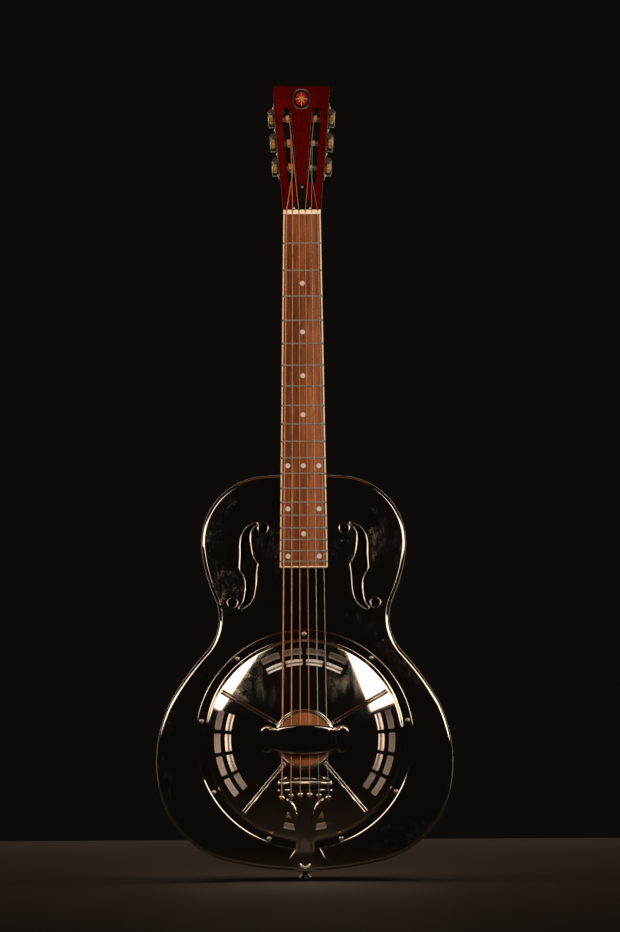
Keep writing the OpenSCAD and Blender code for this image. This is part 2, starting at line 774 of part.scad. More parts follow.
module tuner_plate(side) color("silver") side_space(side) difference() {
    union() {
        translate([side > 0 ? 0 : -plate_t, axis_y - plate_half, plate_screw_z[0]])
            cube([plate_t, 2 * plate_half, plate_screw_z[3] - plate_screw_z[0]]);
        for (z = [plate_screw_z[0], plate_screw_z[3]])
            cross_rod(side, 0, plate_t, axis_y, z, plate_half);
        for (z = roller_places, y = lug_places)
            translate([side > 0 ? plate_t - 0.5 : -gear_x, y, z + worm_drop - lug_half])
                cube([gear_x - plate_t + 0.5, lug_t, 2 * lug_half]);
        for (z = roller_places, y = lug_places)
            rod_y(side * gear_x, y, z + worm_drop, lug_half, lug_t);
    }
    for (z = roller_places) {
        cross_rod(side, -1, plate_t + 1, axis_y, z, journal_r + run_gap);
        rod_y(side * gear_x, -5, z + worm_drop, shaft_r + run_gap, 30);
    }
    for (z = plate_screw_z)
        cross_rod(side, -1, plate_t + 1, axis_y, z, plate_screw_r + eps);
}
module tuner_plate_left() tuner_plate(-1);
module tuner_plate_right() tuner_plate(1);
module tuner_plate_screws() color("silver")
    for (side = [-1, 1])
        side_space(side)
            for (z = plate_screw_z) {
                cross_rod(side, -plate_screw_len, plate_t, axis_y, z, plate_screw_r);
                cross_rod(side, plate_t, plate_t + 1.2, axis_y, z, 2.6);
            }
module string_roller(i) color("silver") {
    side = tuner_side(i);
    tuner_space(i) {
        cross_rod(side, -wall_t - slot_w - tip_len, -wall_t - slot_w + 0.6, axis_y, 0, journal_r);
        cross_rod(side, -wall_t - slot_w + 0.6, -0.4, axis_y, 0, roller_r);
        cross_rod(side, -0.4, plate_t + 0.2, axis_y, 0, journal_r);
        cross_rod(side, plate_t + 0.2, gear_x - gear_t / 2 - eps, axis_y, 0, 3.6);
        cross_rod(side, gear_x - gear_t / 2 - eps, gear_x + gear_t / 2 + 0.1, axis_y, 0, gear_seat_r);
    }
}
module tuner_gear(i) color("goldenrod") {
    side = tuner_side(i);
    tooth = 360 / gear_teeth;
    tuner_space(i) {
        translate([side * gear_x, axis_y, 0]) difference() {
            side_profile(gear_t)
                polygon([for (k = [0 : gear_teeth - 1], p = [[gear_root_r, -tooth_root_half],
                    [gear_tip_r, -tooth_tip_half], [gear_tip_r, tooth_tip_half],
                    [gear_root_r, tooth_root_half]])
                    [p[0] * sin(k * tooth) + p[1] * cos(k * tooth),
                        p[0] * cos(k * tooth) - p[1] * sin(k * tooth)]]);
            rod_x(-5, 0, 0, gear_seat_r + eps, 10);
        }
        cross_rod(side, gear_x + gear_t / 2 + 0.1 + eps, gear_x + gear_t / 2 + 1.3, axis_y, 0, 2.9);
    }
}
module worm_shaft(i) color("goldenrod") {
    side = tuner_side(i);
    half = worm_len / 2;
    turns = worm_len / worm_lead;
    steps = ceil(5 * turns);
    tuner_space(i)
        translate([side * gear_x, axis_y, worm_drop]) {
            rotate([0, -90, -90])
                tube([for (k = [-steps : steps]) let (a = 180 * turns * k / steps)
                    [worm_offset * cos(a), worm_offset * sin(a), half * k / steps]], worm_r, 14);
            rod_y(0, -7.2, 0, shaft_r, 7.2 - half);
            rod_y(0, half, 0, shaft_r, 16 - half);
        }
}
module tuner_button(i) color("silver") {
    side = tuner_side(i);
    tuner_space(i)
        translate([side * gear_x, axis_y, worm_drop]) difference() {
            union() {
                rod_y(0, 8, 0, button_neck_r, 6);
                rod_x(-button_t / 2, button_y - axis_y, 0, button_r, button_t);
            }
            rod_y(0, 5, 0, shaft_r + eps, 11 + eps);
        }
}

// ---- strings: from the tailpiece over the saddle and the nut to just short of each roller ----

function string_x(i, spread) = spread * (i / 5 - 0.5);
saddle_point = from_neck([0, -5.5, -nut_z]);
saddle_h = front_y - saddle_point[1];
saddle_z = saddle_point[2];
nut_rise = 1.7;
roll_x = [10.4, 13.5, 15.6];
roller_gap = 0.5;
function tail_point(i) = let (x = string_x(i, tail_spread)) [x, front_y - 13.2, ball_z(x)];
function over_saddle(i) = [string_x(i, saddle_spread), saddle_point[1] - string_r[i], saddle_z];
function over_nut(i) = from_neck([string_x(i, nut_spread), -nut_rise - string_r[i], nut_z + 1]);
function at_roller(i) =
    let (row = tuner_row[i])
        from_head([tuner_side(i) * roll_x[row], axis_y - roller_r - string_r[i] - roller_gap,
            roller_z + row * tuner_pitch - roller_r]);
string_sides = 8;
// A tube through a list of points that runs mostly along Z: each ring lies in an XY plane
module tube(path, r, m = string_sides) {
    n = len(path);
    points = [for (p = path, k = [0 : m - 1]) p + [r * cos(k * 360 / m), r * sin(k * 360 / m), 0]];
    walls = [for (j = [0 : n - 2], k = [0 : m - 1])
        [j * m + k, (j + 1) * m + k, (j + 1) * m + (k + 1) % m, j * m + (k + 1) % m]];
    polyhedron(points, concat([[for (k = [0 : m - 1]) k]], walls,
        [[for (k = [m - 1 : -1 : 0]) (n - 1) * m + k]]));
}
module guitar_string(i) color(i < 4 ? "peru" : "gainsboro") {
    tube([tail_point(i), over_saddle(i), over_nut(i), at_roller(i)], string_r[i]);
    rod_x(tail_point(i)[0] - ball_len / 2, tail_point(i)[1], tail_point(i)[2], ball_r, ball_len);
}

body_top();
body_sides();
body_back();
soundwell();
cone();
biscuit();
biscuit_screw();
saddle();
coverplate();
palm_rest();
coverplate_screws();
tailpiece();
end_pin();
neck_stick();
stick_supports();
neck();
headstock();
fretboard();
fretboard_binding();
frets();
position_dots();
nut();
truss_rod();
truss_rod_nut();
truss_rod_cover();
truss_cover_screws();
headstock_badge();
tuner_plate_left();
tuner_plate_right();
tuner_plate_screws();
for (i = [0 : 5]) {
    guitar_string(i);
    tuner_button(i);
    worm_shaft(i);
    tuner_gear(i);
    string_roller(i);
}
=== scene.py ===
import json
from math import atan, copysign, cos, exp, hypot, pi, radians, sin, sqrt

import bmesh
import bpy
import numpy as np
from mathutils import Matrix, Vector, geometry
from numpy.linalg import norm

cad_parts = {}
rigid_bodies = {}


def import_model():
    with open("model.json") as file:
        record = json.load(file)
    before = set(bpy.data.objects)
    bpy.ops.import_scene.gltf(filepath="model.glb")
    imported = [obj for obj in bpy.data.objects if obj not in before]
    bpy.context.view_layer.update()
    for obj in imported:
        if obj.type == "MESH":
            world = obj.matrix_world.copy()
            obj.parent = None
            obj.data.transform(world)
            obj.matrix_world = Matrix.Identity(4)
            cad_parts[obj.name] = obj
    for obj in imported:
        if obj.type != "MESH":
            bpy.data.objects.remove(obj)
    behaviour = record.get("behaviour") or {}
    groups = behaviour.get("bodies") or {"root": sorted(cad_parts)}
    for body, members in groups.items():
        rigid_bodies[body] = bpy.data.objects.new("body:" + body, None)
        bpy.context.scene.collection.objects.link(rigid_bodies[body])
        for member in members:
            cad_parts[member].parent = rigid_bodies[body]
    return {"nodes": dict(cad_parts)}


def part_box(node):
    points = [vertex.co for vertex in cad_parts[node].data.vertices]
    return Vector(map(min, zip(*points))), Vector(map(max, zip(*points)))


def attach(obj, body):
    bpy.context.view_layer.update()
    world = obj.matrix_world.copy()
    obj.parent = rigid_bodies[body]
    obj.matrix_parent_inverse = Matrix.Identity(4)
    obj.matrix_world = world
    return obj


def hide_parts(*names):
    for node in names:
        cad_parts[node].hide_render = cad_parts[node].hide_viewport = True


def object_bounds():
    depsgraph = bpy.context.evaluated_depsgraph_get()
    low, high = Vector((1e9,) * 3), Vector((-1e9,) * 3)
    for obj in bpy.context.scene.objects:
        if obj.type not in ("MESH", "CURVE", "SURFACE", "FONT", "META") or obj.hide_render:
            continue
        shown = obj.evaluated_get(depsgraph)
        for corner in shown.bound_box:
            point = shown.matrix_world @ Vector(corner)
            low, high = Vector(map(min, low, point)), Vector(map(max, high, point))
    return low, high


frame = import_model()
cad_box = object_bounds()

# ---- sizes, in millimetres
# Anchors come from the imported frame; the rest repeats the part's own dimensions.

MM = 0.001


def corner_mm(node):
    lo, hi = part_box(node)
    return np.array(lo) * 1000, np.array(hi) * 1000


FRONT = corner_mm("body_top")[0][1]
BACK = corner_mm("body_back")[1][1]
BODY_LEN = corner_mm("body_top")[1][2]
COVER_LOW, COVER_HIGH = corner_mm("coverplate")
WELL_Z, COVER_R = (COVER_LOW[2] + COVER_HIGH[2]) / 2, COVER_HIGH[0]
FLOOR_Z = cad_box[0].z

BOARD_RISE, BOARD_T, NUT_T = 7.0, 6.5, 5.5
SCALE_LEN = 648.0
NUT_Z = SCALE_LEN / 2
NUT_W, JOINT_W = 46.2, 55.1
NECK_A, HEAD_A = radians(1.2), radians(14)
HEAD_LEN, HEAD_ROOT, HEAD_TIP, HEAD_T = 179.0, 46.6, 72.0, 16.0
SIDE_A = atan((HEAD_TIP - HEAD_ROOT) / 2 / HEAD_LEN)
WALL_T, SLOT_W = 8.6, 12.0
SLOT_Z0, SLOT_Z1, RAMP_Z = 42.0, 148.0, 35.0
AXIS_Y = HEAD_T / 2
ROLLER_Z, TUNER_PITCH, ROLLER_R = 65.0, 35.0, 3.0
ROLLER_PLACES = [(ROLLER_Z + k * TUNER_PITCH) / cos(SIDE_A) for k in range(3)]
PLATE_T = 1.4
PLATE_SCREWS = [55.5, 86.0, 121.0, 153.0]
NAMES = ["e2", "a2", "d3", "g3", "b3", "e4"]
ROWS = [0, 1, 2, 2, 1, 0]
STRING_R = [0.7, 0.56, 0.45, 0.35, 0.22, 0.17]
NUT_SPREAD, SADDLE_SPREAD, TAIL_SPREAD = 38.6, 54.0, 56.4
ROLL_X = [10.4, 13.5, 15.6]


def from_neck(p):
    return np.array([
        p[0],
        FRONT - BOARD_RISE + p[1] * cos(NECK_A) + p[2] * sin(NECK_A),
        BODY_LEN - p[1] * sin(NECK_A) + p[2] * cos(NECK_A)])


def head_to_neck(p):
    return [p[0],
            BOARD_T + p[1] * cos(HEAD_A) + p[2] * sin(HEAD_A),
            NUT_Z + NUT_T - p[1] * sin(HEAD_A) + p[2] * cos(HEAD_A)]


def from_head(p):
    return from_neck(head_to_neck(p))


def side_to_head(side, p):
    a = side * SIDE_A
    return [side * HEAD_ROOT / 2 + p[0] * cos(a) + p[2] * sin(a), p[1], -p[0] * sin(a) + p[2] * cos(a)]


def from_side(side, p):
    return from_head(side_to_head(side, p))


def side_of(i):
    return -1 if i < 3 else 1


def plain(p):
    return np.array(p, float)


def ease(t):
    return t * t * (3 - 2 * t)


# ---- curves and meshes


def spline(points, n):
    """Points on a Catmull-Rom curve through a list, n to each stretch."""
    p = np.array(points, float)
    m, out = len(p) - 1, []
    for i in range(m):
        a, b, c, d = p[max(i - 1, 0)], p[i], p[i + 1], p[min(i + 2, m)]
        for k in range(n):
            t = k / n
            out.append(0.5 * (2 * b + (c - a) * t + (2 * a - 5 * b + 4 * c - d) * t * t
                              + (3 * b - a - 3 * c + d) * t ** 3))
    out.append(p[m])
    return np.array(out)


def lengths(p):
    """How far along a line each of its points lies."""
    return np.concatenate([[0], np.cumsum(norm(np.diff(p, axis=0), axis=1))])


def resample(points, step, closed=False):
    p = np.array(points, float)
    if closed:
        p = np.vstack([p, p[:1]])
    along = lengths(p)
    t = np.linspace(0, along[-1], max(3, int(round(along[-1] / step))) + 1)
    out = np.stack([np.interp(t, along, p[:, k]) for k in range(p.shape[1])], 1)
    return out[:-1] if closed else out


def area2(loop):
    x, y = loop[:, 0], loop[:, 1]
    return float(np.sum(x * np.roll(y, -1) - np.roll(x, -1) * y))


def inside(poly, pts):
    """Which points are inside a closed polygon."""
    x, y = pts[:, 0], pts[:, 1]
    hit = np.zeros(len(pts), bool)
    q = np.roll(poly, -1, axis=0)
    for (x0, y0), (x1, y1) in zip(poly, q):
        if y0 == y1:
            continue
        cross = (y0 > y) != (y1 > y)
        hit ^= cross & (x < (x1 - x0) * (y - y0) / (y1 - y0) + x0)
    return hit


def left_normals(loop):
    """Unit normals on the left of a closed loop's direction of travel."""
    t = np.roll(loop, -1, axis=0) - np.roll(loop, 1, axis=0)
    t /= norm(t, axis=1)[:, None] + 1e-12
    return np.stack([-t[:, 1], t[:, 0]], 1)


def clear_width(loop, into, width):
    """How far each point may move along its normal before it meets another part of the loop."""
    d = np.full(len(loop), float(width))
    for i in range(len(loop)):
        while d[i] > 0.15:
            c = loop[i] + into[i] * d[i]
            if np.min(norm(loop - c, axis=1)) >= d[i] - 0.12:
                break
            d[i] -= 0.1
    for _ in range(3):
        d = np.minimum(d, (np.roll(d, 1) + d + np.roll(d, -1)) / 3 + 0.05)
    return d


def add(name, data):
    ob = bpy.data.objects.new(name, data)
    bpy.context.scene.collection.objects.link(ob)
    return ob


def new_object(name, verts, faces):
    """A mesh object in the row frame from points in millimetres."""
    me = bpy.data.meshes.new(name)
    me.from_pydata([tuple(float(c) * MM for c in v) for v in verts], [], [tuple(f) for f in faces])
    me.update()
    return add(name, me)


def piece(name, verts, faces, mat, slot, body="guitar", replaces=(), sharp=40):
    """A visible piece of the guitar, riding on a body."""
    ob = new_object(name, verts, faces)
    ob.data.materials.append(mat)
    shade(ob.data, sharp)
    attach(ob, body)
    if replaces:
        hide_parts(*replaces)
    return ob


def shade(me, sharp):
    me.shade_smooth()
    if sharp:
        me.set_sharp_from_angle(angle=radians(sharp))


def mend(me, dist=None, outward=True):
    """Joins points closer than dist, and turns the faces outward."""
    bm = bmesh.new()
    bm.from_mesh(me)
    if dist:
        bmesh.ops.remove_doubles(bm, verts=bm.verts, dist=dist)
    if outward:
        bmesh.ops.recalc_face_normals(bm, faces=bm.faces)
    bm.to_mesh(me)
    bm.free()


def weld(ob, dist=1e-6, sharp=40, outward=True):
    mend(ob.data, dist, outward)
    shade(ob.data, sharp)


def settle(ob, sharp=40):
    """Turns a piece's modifiers into its mesh."""
    dg = bpy.context.evaluated_depsgraph_get()
    me = bpy.data.meshes.new_from_object(ob.evaluated_get(dg))
    ob.modifiers.clear()
    ob.data = me
    shade(me, sharp)


def thicken(ob, t, sharp=40):
    """Gives a sheet a thickness behind its face, which looks to the front."""
    if sum((p.normal * p.area for p in ob.data.polygons), Vector()).y > 0:
        ob.data.flip_normals()
    m = ob.modifiers.new("sheet", "SOLIDIFY")
    m.thickness, m.offset = t * MM, -1
    settle(ob, sharp)


def quads(rows, cols, close_cols=True, close_rows=False):
    """Faces of a grid of points, row by row."""
    out = []
    for i in range(rows if close_rows else rows - 1):
        for j in range(cols if close_cols else cols - 1):
            a, b = i * cols, (i + 1) % rows * cols
            k = (j + 1) % cols
            out.append((a + j, a + k, b + k, b + j))
    return out


def mirrored(half):
    """A line that ends on the middle plane, and its mirror image after it."""
    return np.vstack([half, [(-x, z) for x, z in half[::-1][1:]]])


def nearest(pts, line):
    """How far each point is from the nearest point of a line."""
    return np.min(norm(pts[:, None, :] - line[None, :, :], axis=2), axis=1)


def turns(n):
    return [2 * pi * k / n for k in range(n)]


def ring(p, u, w, r, n):
    """n points at a distance r round p, in the plane of u and w."""
    return [p + r * (u * cos(a) + w * sin(a)) for a in turns(n)]


def lathe(profile, centre, axis, n=96):
    """Verts and faces of a profile of (radius, distance along axis) turned about an axis."""
    axis = Vector(axis).normalized()
    u = axis.orthogonal().normalized()
    axis, u, w = np.array(axis), np.array(u), np.array(axis.cross(u))
    verts = [q for r, h in profile for q in ring(np.array(centre) + axis * h, u, w, r, n)]
    return verts, quads(len(profile), n)


def tube(path, r, m=12):
    """Verts and faces of a round rod along a path; r is one radius or one for each point."""
    path = [np.array(p, float) for p in path]
    rr = [r] * len(path) if np.isscalar(r) else r
    verts, u = [], None
    for k, p in enumerate(path):
        t = path[min(k + 1, len(path) - 1)] - path[max(k - 1, 0)]
        t = t / norm(t)
        if u is None:
            u = np.cross(t, [0.3, 0.5, 0.81])
        u = u - t * np.dot(u, t)
        u /= norm(u)
        verts += ring(p, u, np.cross(t, u), rr[k], m)
    ends = [tuple(range(m - 1, -1, -1)), tuple((len(path) - 1) * m + j for j in range(m))]
    return verts, quads(len(path), m) + ends


def ring_tube(path, r, m=12):
    """Verts and faces of a round tube along a closed path in a plane of constant y."""
    path, y = np.array(path, float), np.array([0, 1, 0])
    t = np.roll(path, -1, axis=0) - np.roll(path, 1, axis=0)
    t /= norm(t, axis=1)[:, None]
    verts = [q for p, d in zip(path, t) for q in ring(p, np.cross(d, y), y, r, m)]
    return verts, quads(len(path), m, close_rows=True)


def joined(parts):
    verts, faces = [], []
    for v, f in parts:
        base = len(verts)
        verts += list(v)
        faces += [tuple(base + k for k in q) for q in f]
    return verts, faces


def fill(loops, extra=()):
    """Triangles between an outer loop and its holes, all in 2-D."""
    verts, edges = [], []
    for loop in loops:
        base, n = len(verts), len(loop)
        verts += [Vector(p) for p in loop]
        edges += [(base + k, base + (k + 1) % n) for k in range(n)]
    verts += [Vector(p) for p in extra]
    v2, _, f2 = geometry.delaunay_2d_cdt(verts, edges, [], 0, 1e-7)[:3]
    pts = np.array([(v.x, v.y) for v in v2])
    mid = np.array([pts[list(f)].mean(0) for f in f2])
    keep = inside(np.array(loops[0]), mid)
    for hole in loops[1:]:
        keep &= ~inside(np.array(hole), mid)
    return pts, [tuple(f) for f, k in zip(f2, keep) if k]


def plate(name, loops, y0, y1, mat, slot, place=plain, replaces=(), steps=6):
    """A slab between y0 and y1 with rounded edges. loops[0] is the outline, the others are holes,
    each (points, radius, depth): a hole with a depth ends there, one without runs through."""
    def spot(p):
        return round(float(p[0]), 4), round(float(p[1]), 4)

    zero = place([0, 0, 0])
    made, verts, faces, normals = [], [], [], []
    quarter = [pi / 2 * s / steps for s in range(steps + 1)]

    def put(x, y, z, n):
        verts.append(place([x, y, z]))
        v = place(n) - zero
        normals.append(v / norm(v))
        return len(verts) - 1

    def edge(line, y, toward, angles):
        """Rings of a rounded edge that starts on the face at y and goes toward the other face."""
        return [[put(p[0] + n[0] * w * (1 - sin(a)), y + toward * w * (1 - cos(a)),
                     p[1] + n[1] * w * (1 - sin(a)),
                     (-n[0] * sin(a), -toward * cos(a), -n[1] * sin(a)))
                 for p, n, w in line] for a in angles]

    for k, (pts, radius, depth) in enumerate(loops):
        pts = np.array(pts, float)
        if (area2(pts) > 0) != (k == 0):
            pts = pts[::-1]
        into = left_normals(pts)
        line = list(zip(pts, into, clear_width(pts, into, radius)))
        rings = edge(line, y0, 1, quarter)
        if depth is None:
            rings += edge(line, y1, -1, quarter[::-1])
        else:
            rings.append([put(p[0], y0 + depth, p[1], (-n[0], 0, -n[1])) for p, n, w in line])
        m = len(pts)
        for a, b in zip(rings, rings[1:]):
            faces += [(a[j], b[j], b[(j + 1) % m], a[(j + 1) % m]) for j in range(m)]
        inner = np.array([p + n * w for p, n, w in line])
        made.append((inner, rings[0], rings[-1] if depth is None else None))
    for which, y, n in ((1, y0, (0, -1, 0)), (2, y1, (0, 1, 0))):
        used = [m for m in made if m[which] is not None]
        pts, tris = fill([m[0] for m in used])
        known = {spot(p): i for m in used for p, i in zip(m[0], m[which])}
        at = [known.get(spot(p)) for p in pts]
        at = [put(p[0], y, p[1], n) if i is None else i for p, i in zip(pts, at)]
        faces += [tuple(at[i] for i in t) for t in tris]
    ob = piece(name, verts, faces, mat, slot, replaces=replaces, sharp=None)
    mend(ob.data)
    shade(ob.data, None)
    ob.data.normals_split_custom_set_from_vertices([tuple(n) for n in normals])
    return ob


def cut(ob, cutter, sharp=35):
    """Takes a cutter's closed mesh out of a piece."""
    m = ob.modifiers.new("cut", "BOOLEAN")
    m.operation, m.solver, m.object = "DIFFERENCE", "EXACT", cutter
    settle(ob, sharp)
    bpy.data.objects.remove(cutter)


def cutter(parts):
    ob = new_object("cutter", *joined(parts))
    mend(ob.data)
    return ob


# ---- materials


class Paint:
    """A Principled material with a few node helpers."""

    def __init__(self, name, **sockets):
        self.mat = bpy.data.materials.new(name)
        self.mat.use_nodes = True
        self.nt = self.mat.node_tree
        self.nt.nodes.clear()
        out = self.nt.nodes.new("ShaderNodeOutputMaterial")
        self.bsdf = self.nt.nodes.new("ShaderNodeBsdfPrincipled")
        self.nt.links.new(self.bsdf.outputs[0], out.inputs[0])
        self.where = self.nt.nodes.new("ShaderNodeTexCoord").outputs["Object"]
        for k, v in sockets.items():
            self.set(k, v)

    def feed(self, socket, v):
        if isinstance(v, bpy.types.NodeSocket):
            self.nt.links.new(v, socket)
        else:
            socket.default_value = (*v, 1) if socket.type == "RGBA" else v

    def set(self, socket, v):
        self.feed(self.bsdf.inputs[socket], v)

    def node(self, kind, out=0, ins=(), **props):
        n = self.nt.nodes.new("ShaderNode" + kind)
        for k, v in props.items():
            setattr(n, k, v)
        for k, v in dict(ins).items():
            self.feed(n.inputs[k], v)
        return n.outputs[out]

    def stretch(self, scale, turn=(0, 0, 0)):
        return self.node("Mapping", ins={"Vector": self.where, "Scale": scale, "Rotation": turn})

    def noise(self, scale, detail=4.0, vec=None, rough=0.55, warp=0.0):
        return self.node("TexNoise", ins={
            "Vector": vec or self.where, "Scale": scale, "Detail": detail,
            "Roughness": rough, "Distortion": warp})

    def ramp(self, fac, *stops):
        out = self.node("ValToRGB", ins={0: fac})
        e = out.node.color_ramp.elements
        while len(e) < len(stops):
            e.new(0.5)
        for el, (pos, col) in zip(e, stops):
            el.position = pos
            el.color = (*col, 1) if isinstance(col, tuple) else (col, col, col, 1)
        return out

    def math(self, op, a, b=0.0, c=0.0):
        return self.node("Math", ins={0: a, 1: b, 2: c}, operation=op)

    def rough(self, fac, spread, base):
        self.set("Roughness", self.math("MULTIPLY_ADD", fac, spread, base))

    def coat(self, weight, rough):
        self.set("Coat Weight", weight)
        self.set("Coat Roughness", rough)

    def hypot(self, a, b):
        return self.math("SQRT", self.math("ADD", self.math("MULTIPLY", a, a), self.math("MULTIPLY", b, b)))

    def mix(self, fac, a, b):
        return self.node("Mix", out=2, ins={0: fac, 6: a, 7: b}, data_type="RGBA")

    def bump(self, *layers):
        """Bumps stacked from (height, strength, distance in metres)."""
        last = None
        for height, strength, dist in layers:
            ins = {"Height": height, "Strength": strength, "Distance": dist}
            if last is not None:
                ins["Normal"] = last
            last = self.node("Bump", ins=ins)
        self.set("Normal", last)

    def axis(self, k):
        return self.node("SeparateXYZ", out=k, ins={0: self.where})


def nickel(name, base, haze, haze_amount, gloss, wave, most=1.0, rubbed=()):
    """Mirror plating with faint hazy patches, fine rubbing marks and a slightly uneven sheet.

    rubbed lists places that hands have dulled: x, z and radius in metres, and how much.
    """
    p = Paint(name, Metallic=1.0)
    patch = p.noise(9, 5, rough=0.62, warp=0.6)
    fine = p.noise(170, 6, vec=p.stretch((1, 1, 0.55)), rough=0.75)
    mask = p.math("MULTIPLY", p.ramp(patch, (0.5, 0.0), (0.72, most)),
                  p.ramp(fine, (0.42, 0.0), (0.66, 1.0)))
    for x, z, reach, amount in rubbed:
        away = p.hypot(p.math("SUBTRACT", p.axis(0), x), p.math("SUBTRACT", p.axis(2), z))
        smear = p.ramp(p.noise(95, 6, vec=p.stretch((1, 1, 0.3)), rough=0.7), (0.42, 0.0), (0.68, amount))
        near = p.ramp(away, (reach * 0.25, 1.0), (reach, 0.0))
        mask = p.math("MAXIMUM", mask, p.math("MULTIPLY", near, smear))
    p.set("Base Color", p.mix(mask, base, haze))
    rub = p.noise(900, 3, vec=p.stretch((1, 1, 0.06), turn=(0, 0.4, 0)))
    r = p.math("MULTIPLY_ADD", rub, 0.03, gloss)
    p.rough(mask, haze_amount, r)
    p.bump((p.noise(14, 1.5), 1.0, wave), (rub, 0.05, 2e-5))
    return p.mat


NICKEL = nickel("nickel_body", (0.8, 0.73, 0.64), (0.55, 0.42, 0.32), 0.34, 0.02, 2e-5)
TRIM = nickel("nickel_trim", (0.83, 0.77, 0.69), (0.58, 0.46, 0.36), 0.3, 0.02, 1e-5, 0.45,
              [(side * 0.037, WELL_Z * MM + 0.062, 0.036, 0.5) for side in (-1, 1)])


def make_spun():
    """Turned metal with fine rings, duller on the cone's outer zone."""
    p = Paint("spun_aluminium", Metallic=1.0)
    z = p.math("SUBTRACT", p.axis(2), WELL_Z * MM)
    r = p.hypot(p.axis(0), z)
    rings = p.node("TexNoise", ins={
        "Vector": p.node("CombineXYZ", ins={0: r}), "Scale": 1400.0, "Detail": 3.0})
    p.set("Base Color", p.ramp(rings, (0.35, (0.66, 0.62, 0.58)), (0.65, (0.92, 0.88, 0.84))))
    turned = p.math("MULTIPLY_ADD", rings, 0.14, 0.17)
    p.set("Roughness", p.math("ADD", turned, p.ramp(r, (0.098, 0.0), (0.101, 0.16))))
    p.bump((rings, 0.25, 0.0001))
    return p.mat


def make_steel(name, base, rough, dirt=(0.25, 0.2, 0.16), metal=1.0):
    p = Paint(name, Metallic=metal)
    n = p.noise(600, 4, vec=p.stretch((1, 1, 0.15)))
    blot = p.noise(60, 4)
    p.set("Base Color", p.mix(p.ramp(blot, (0.5, 0.0), (0.75, 0.5)), base, dirt))
    p.rough(n, 0.16, rough)
    p.bump((n, 0.12, 5e-5))
    return p.mat


def make_wood(name, dark, mid, light, rough, coat, pores=0.5, shine=0.3):
    """Wood with its grain along Z: broad colour bands, fine streaks and short dark pores."""
    p = Paint(name)
    bands = p.noise(26, 4, vec=p.stretch((1, 1, 0.07)), rough=0.6, warp=0.5)
    streak = p.noise(420, 5, vec=p.stretch((1, 1, 0.03)), rough=0.6)
    pore = p.ramp(p.noise(950, 3, vec=p.stretch((1, 1, 0.035)), rough=0.5), (0.6, 0.0), (0.7, 1.0))
    base = p.ramp(p.math("ADD", p.math("MULTIPLY", bands, 0.6), p.math("MULTIPLY", streak, 0.4)),
                  (0.36, dark), (0.5, mid), (0.64, light))
    p.set("Base Color", p.mix(p.math("MULTIPLY", pore, pores), base, tuple(c * 0.35 for c in dark)))
    p.rough(streak, 0.18, rough)
    p.bump((p.math("SUBTRACT", streak, p.math("MULTIPLY", pore, 0.8)), 0.25 if coat else 0.45, 0.00012))
    p.coat(coat, 0.07)
    p.set("Specular IOR Level", shine)
    return p.mat


def make_plastic(name, a, b, rough, scale=40.0, coat=0.0, sub=0.0):
    p = Paint(name)
    n = p.noise(scale, 4, rough=0.6)
    p.set("Base Color", p.ramp(n, (0.35, a), (0.65, b)))
    scuff = p.noise(700, 3)
    p.rough(scuff, 0.12, rough)
    p.bump((scuff, 0.06, 3e-5))
    p.coat(coat, 0.08)
    if sub:
        p.set("Subsurface Weight", sub)
        p.set("Subsurface Scale", 0.002)
    return p.mat


def make_brass(name, dark, light, metal):
    p = Paint(name, Metallic=metal)
    lines = p.noise(1500, 3, vec=p.stretch((0.15, 1, 1)))
    blot = p.noise(180, 4)
    p.set("Base Color", p.ramp(blot, (0.3, dark), (0.6, light)))
    p.rough(lines, 0.2, 0.22)
    p.bump((lines, 0.2, 5e-5))
    return p.mat


def make_wound():
    p = Paint("wound_bronze", Metallic=0.5)
    wrap = p.node("TexWave", out=1, ins={"Vector": p.where, "Scale": 900.0, "Distortion": 0.0},
                  wave_type="BANDS", bands_direction="Z")
    age = p.noise(90, 3)
    p.set("Base Color", p.ramp(age, (0.3, (0.72, 0.3, 0.13)), (0.7, (0.95, 0.48, 0.24))))
    p.rough(age, 0.1, 0.38)
    p.bump((wrap, 0.5, 8e-5))
    return p.mat


def make_gloss(name, noise, stops, spread, rough, bump, coat):
    """A hard, coated surface whose colour is clouded by one noise."""
    p = Paint(name)
    cloud = p.noise(*noise)
    p.set("Base Color", p.ramp(cloud, *stops))
    p.rough(cloud, spread, rough)
    p.bump((cloud, 0.05, bump))
    p.coat(*coat)
    return p.mat


SPUN = make_spun()
STEEL = make_steel("plain_steel", (0.45, 0.44, 0.43), 0.34)
SCREW = make_steel("screw_steel", (0.72, 0.66, 0.56), 0.2)
TUNER = make_steel("tuner_nickel", (0.34, 0.27, 0.225), 0.27, (0.16, 0.11, 0.08), 0.88)
FRETWIRE = make_steel("fret_wire", (0.5, 0.45, 0.39), 0.26, metal=0.65)
PLAIN_STRING = make_steel("plain_string", (0.82, 0.76, 0.7), 0.3, (0.5, 0.4, 0.3), 0.6)
RED_TONES = (0.04, 0.0007, 0.0003), (0.072, 0.0014, 0.0005), (0.115, 0.0028, 0.0009)
RED = make_wood("red_mahogany", *RED_TONES, 0.42, 0.12, 0.45)
RED_HEAD = make_wood("red_mahogany_head", *RED_TONES, 0.6, 0.0, 0.45, 0.03)
MAHOGANY = make_wood("plain_mahogany", (0.15, 0.06, 0.03), (0.24, 0.11, 0.05), (0.33, 0.17, 0.09), 0.6, 0.0)
ROSEWOOD = make_wood("rosewood", (0.05, 0.016, 0.006), (0.15, 0.05, 0.019), (0.33, 0.125, 0.05),
                     0.46, 0.05, 0.9)
MAPLE = make_wood("maple", (0.21, 0.075, 0.028), (0.31, 0.12, 0.048), (0.4, 0.17, 0.075), 0.45, 0.15, 0.2)
IVORY = make_plastic("ivory_plastic", (0.74, 0.6, 0.42), (0.86, 0.74, 0.56), 0.22, 60, 0.4, 0.05)
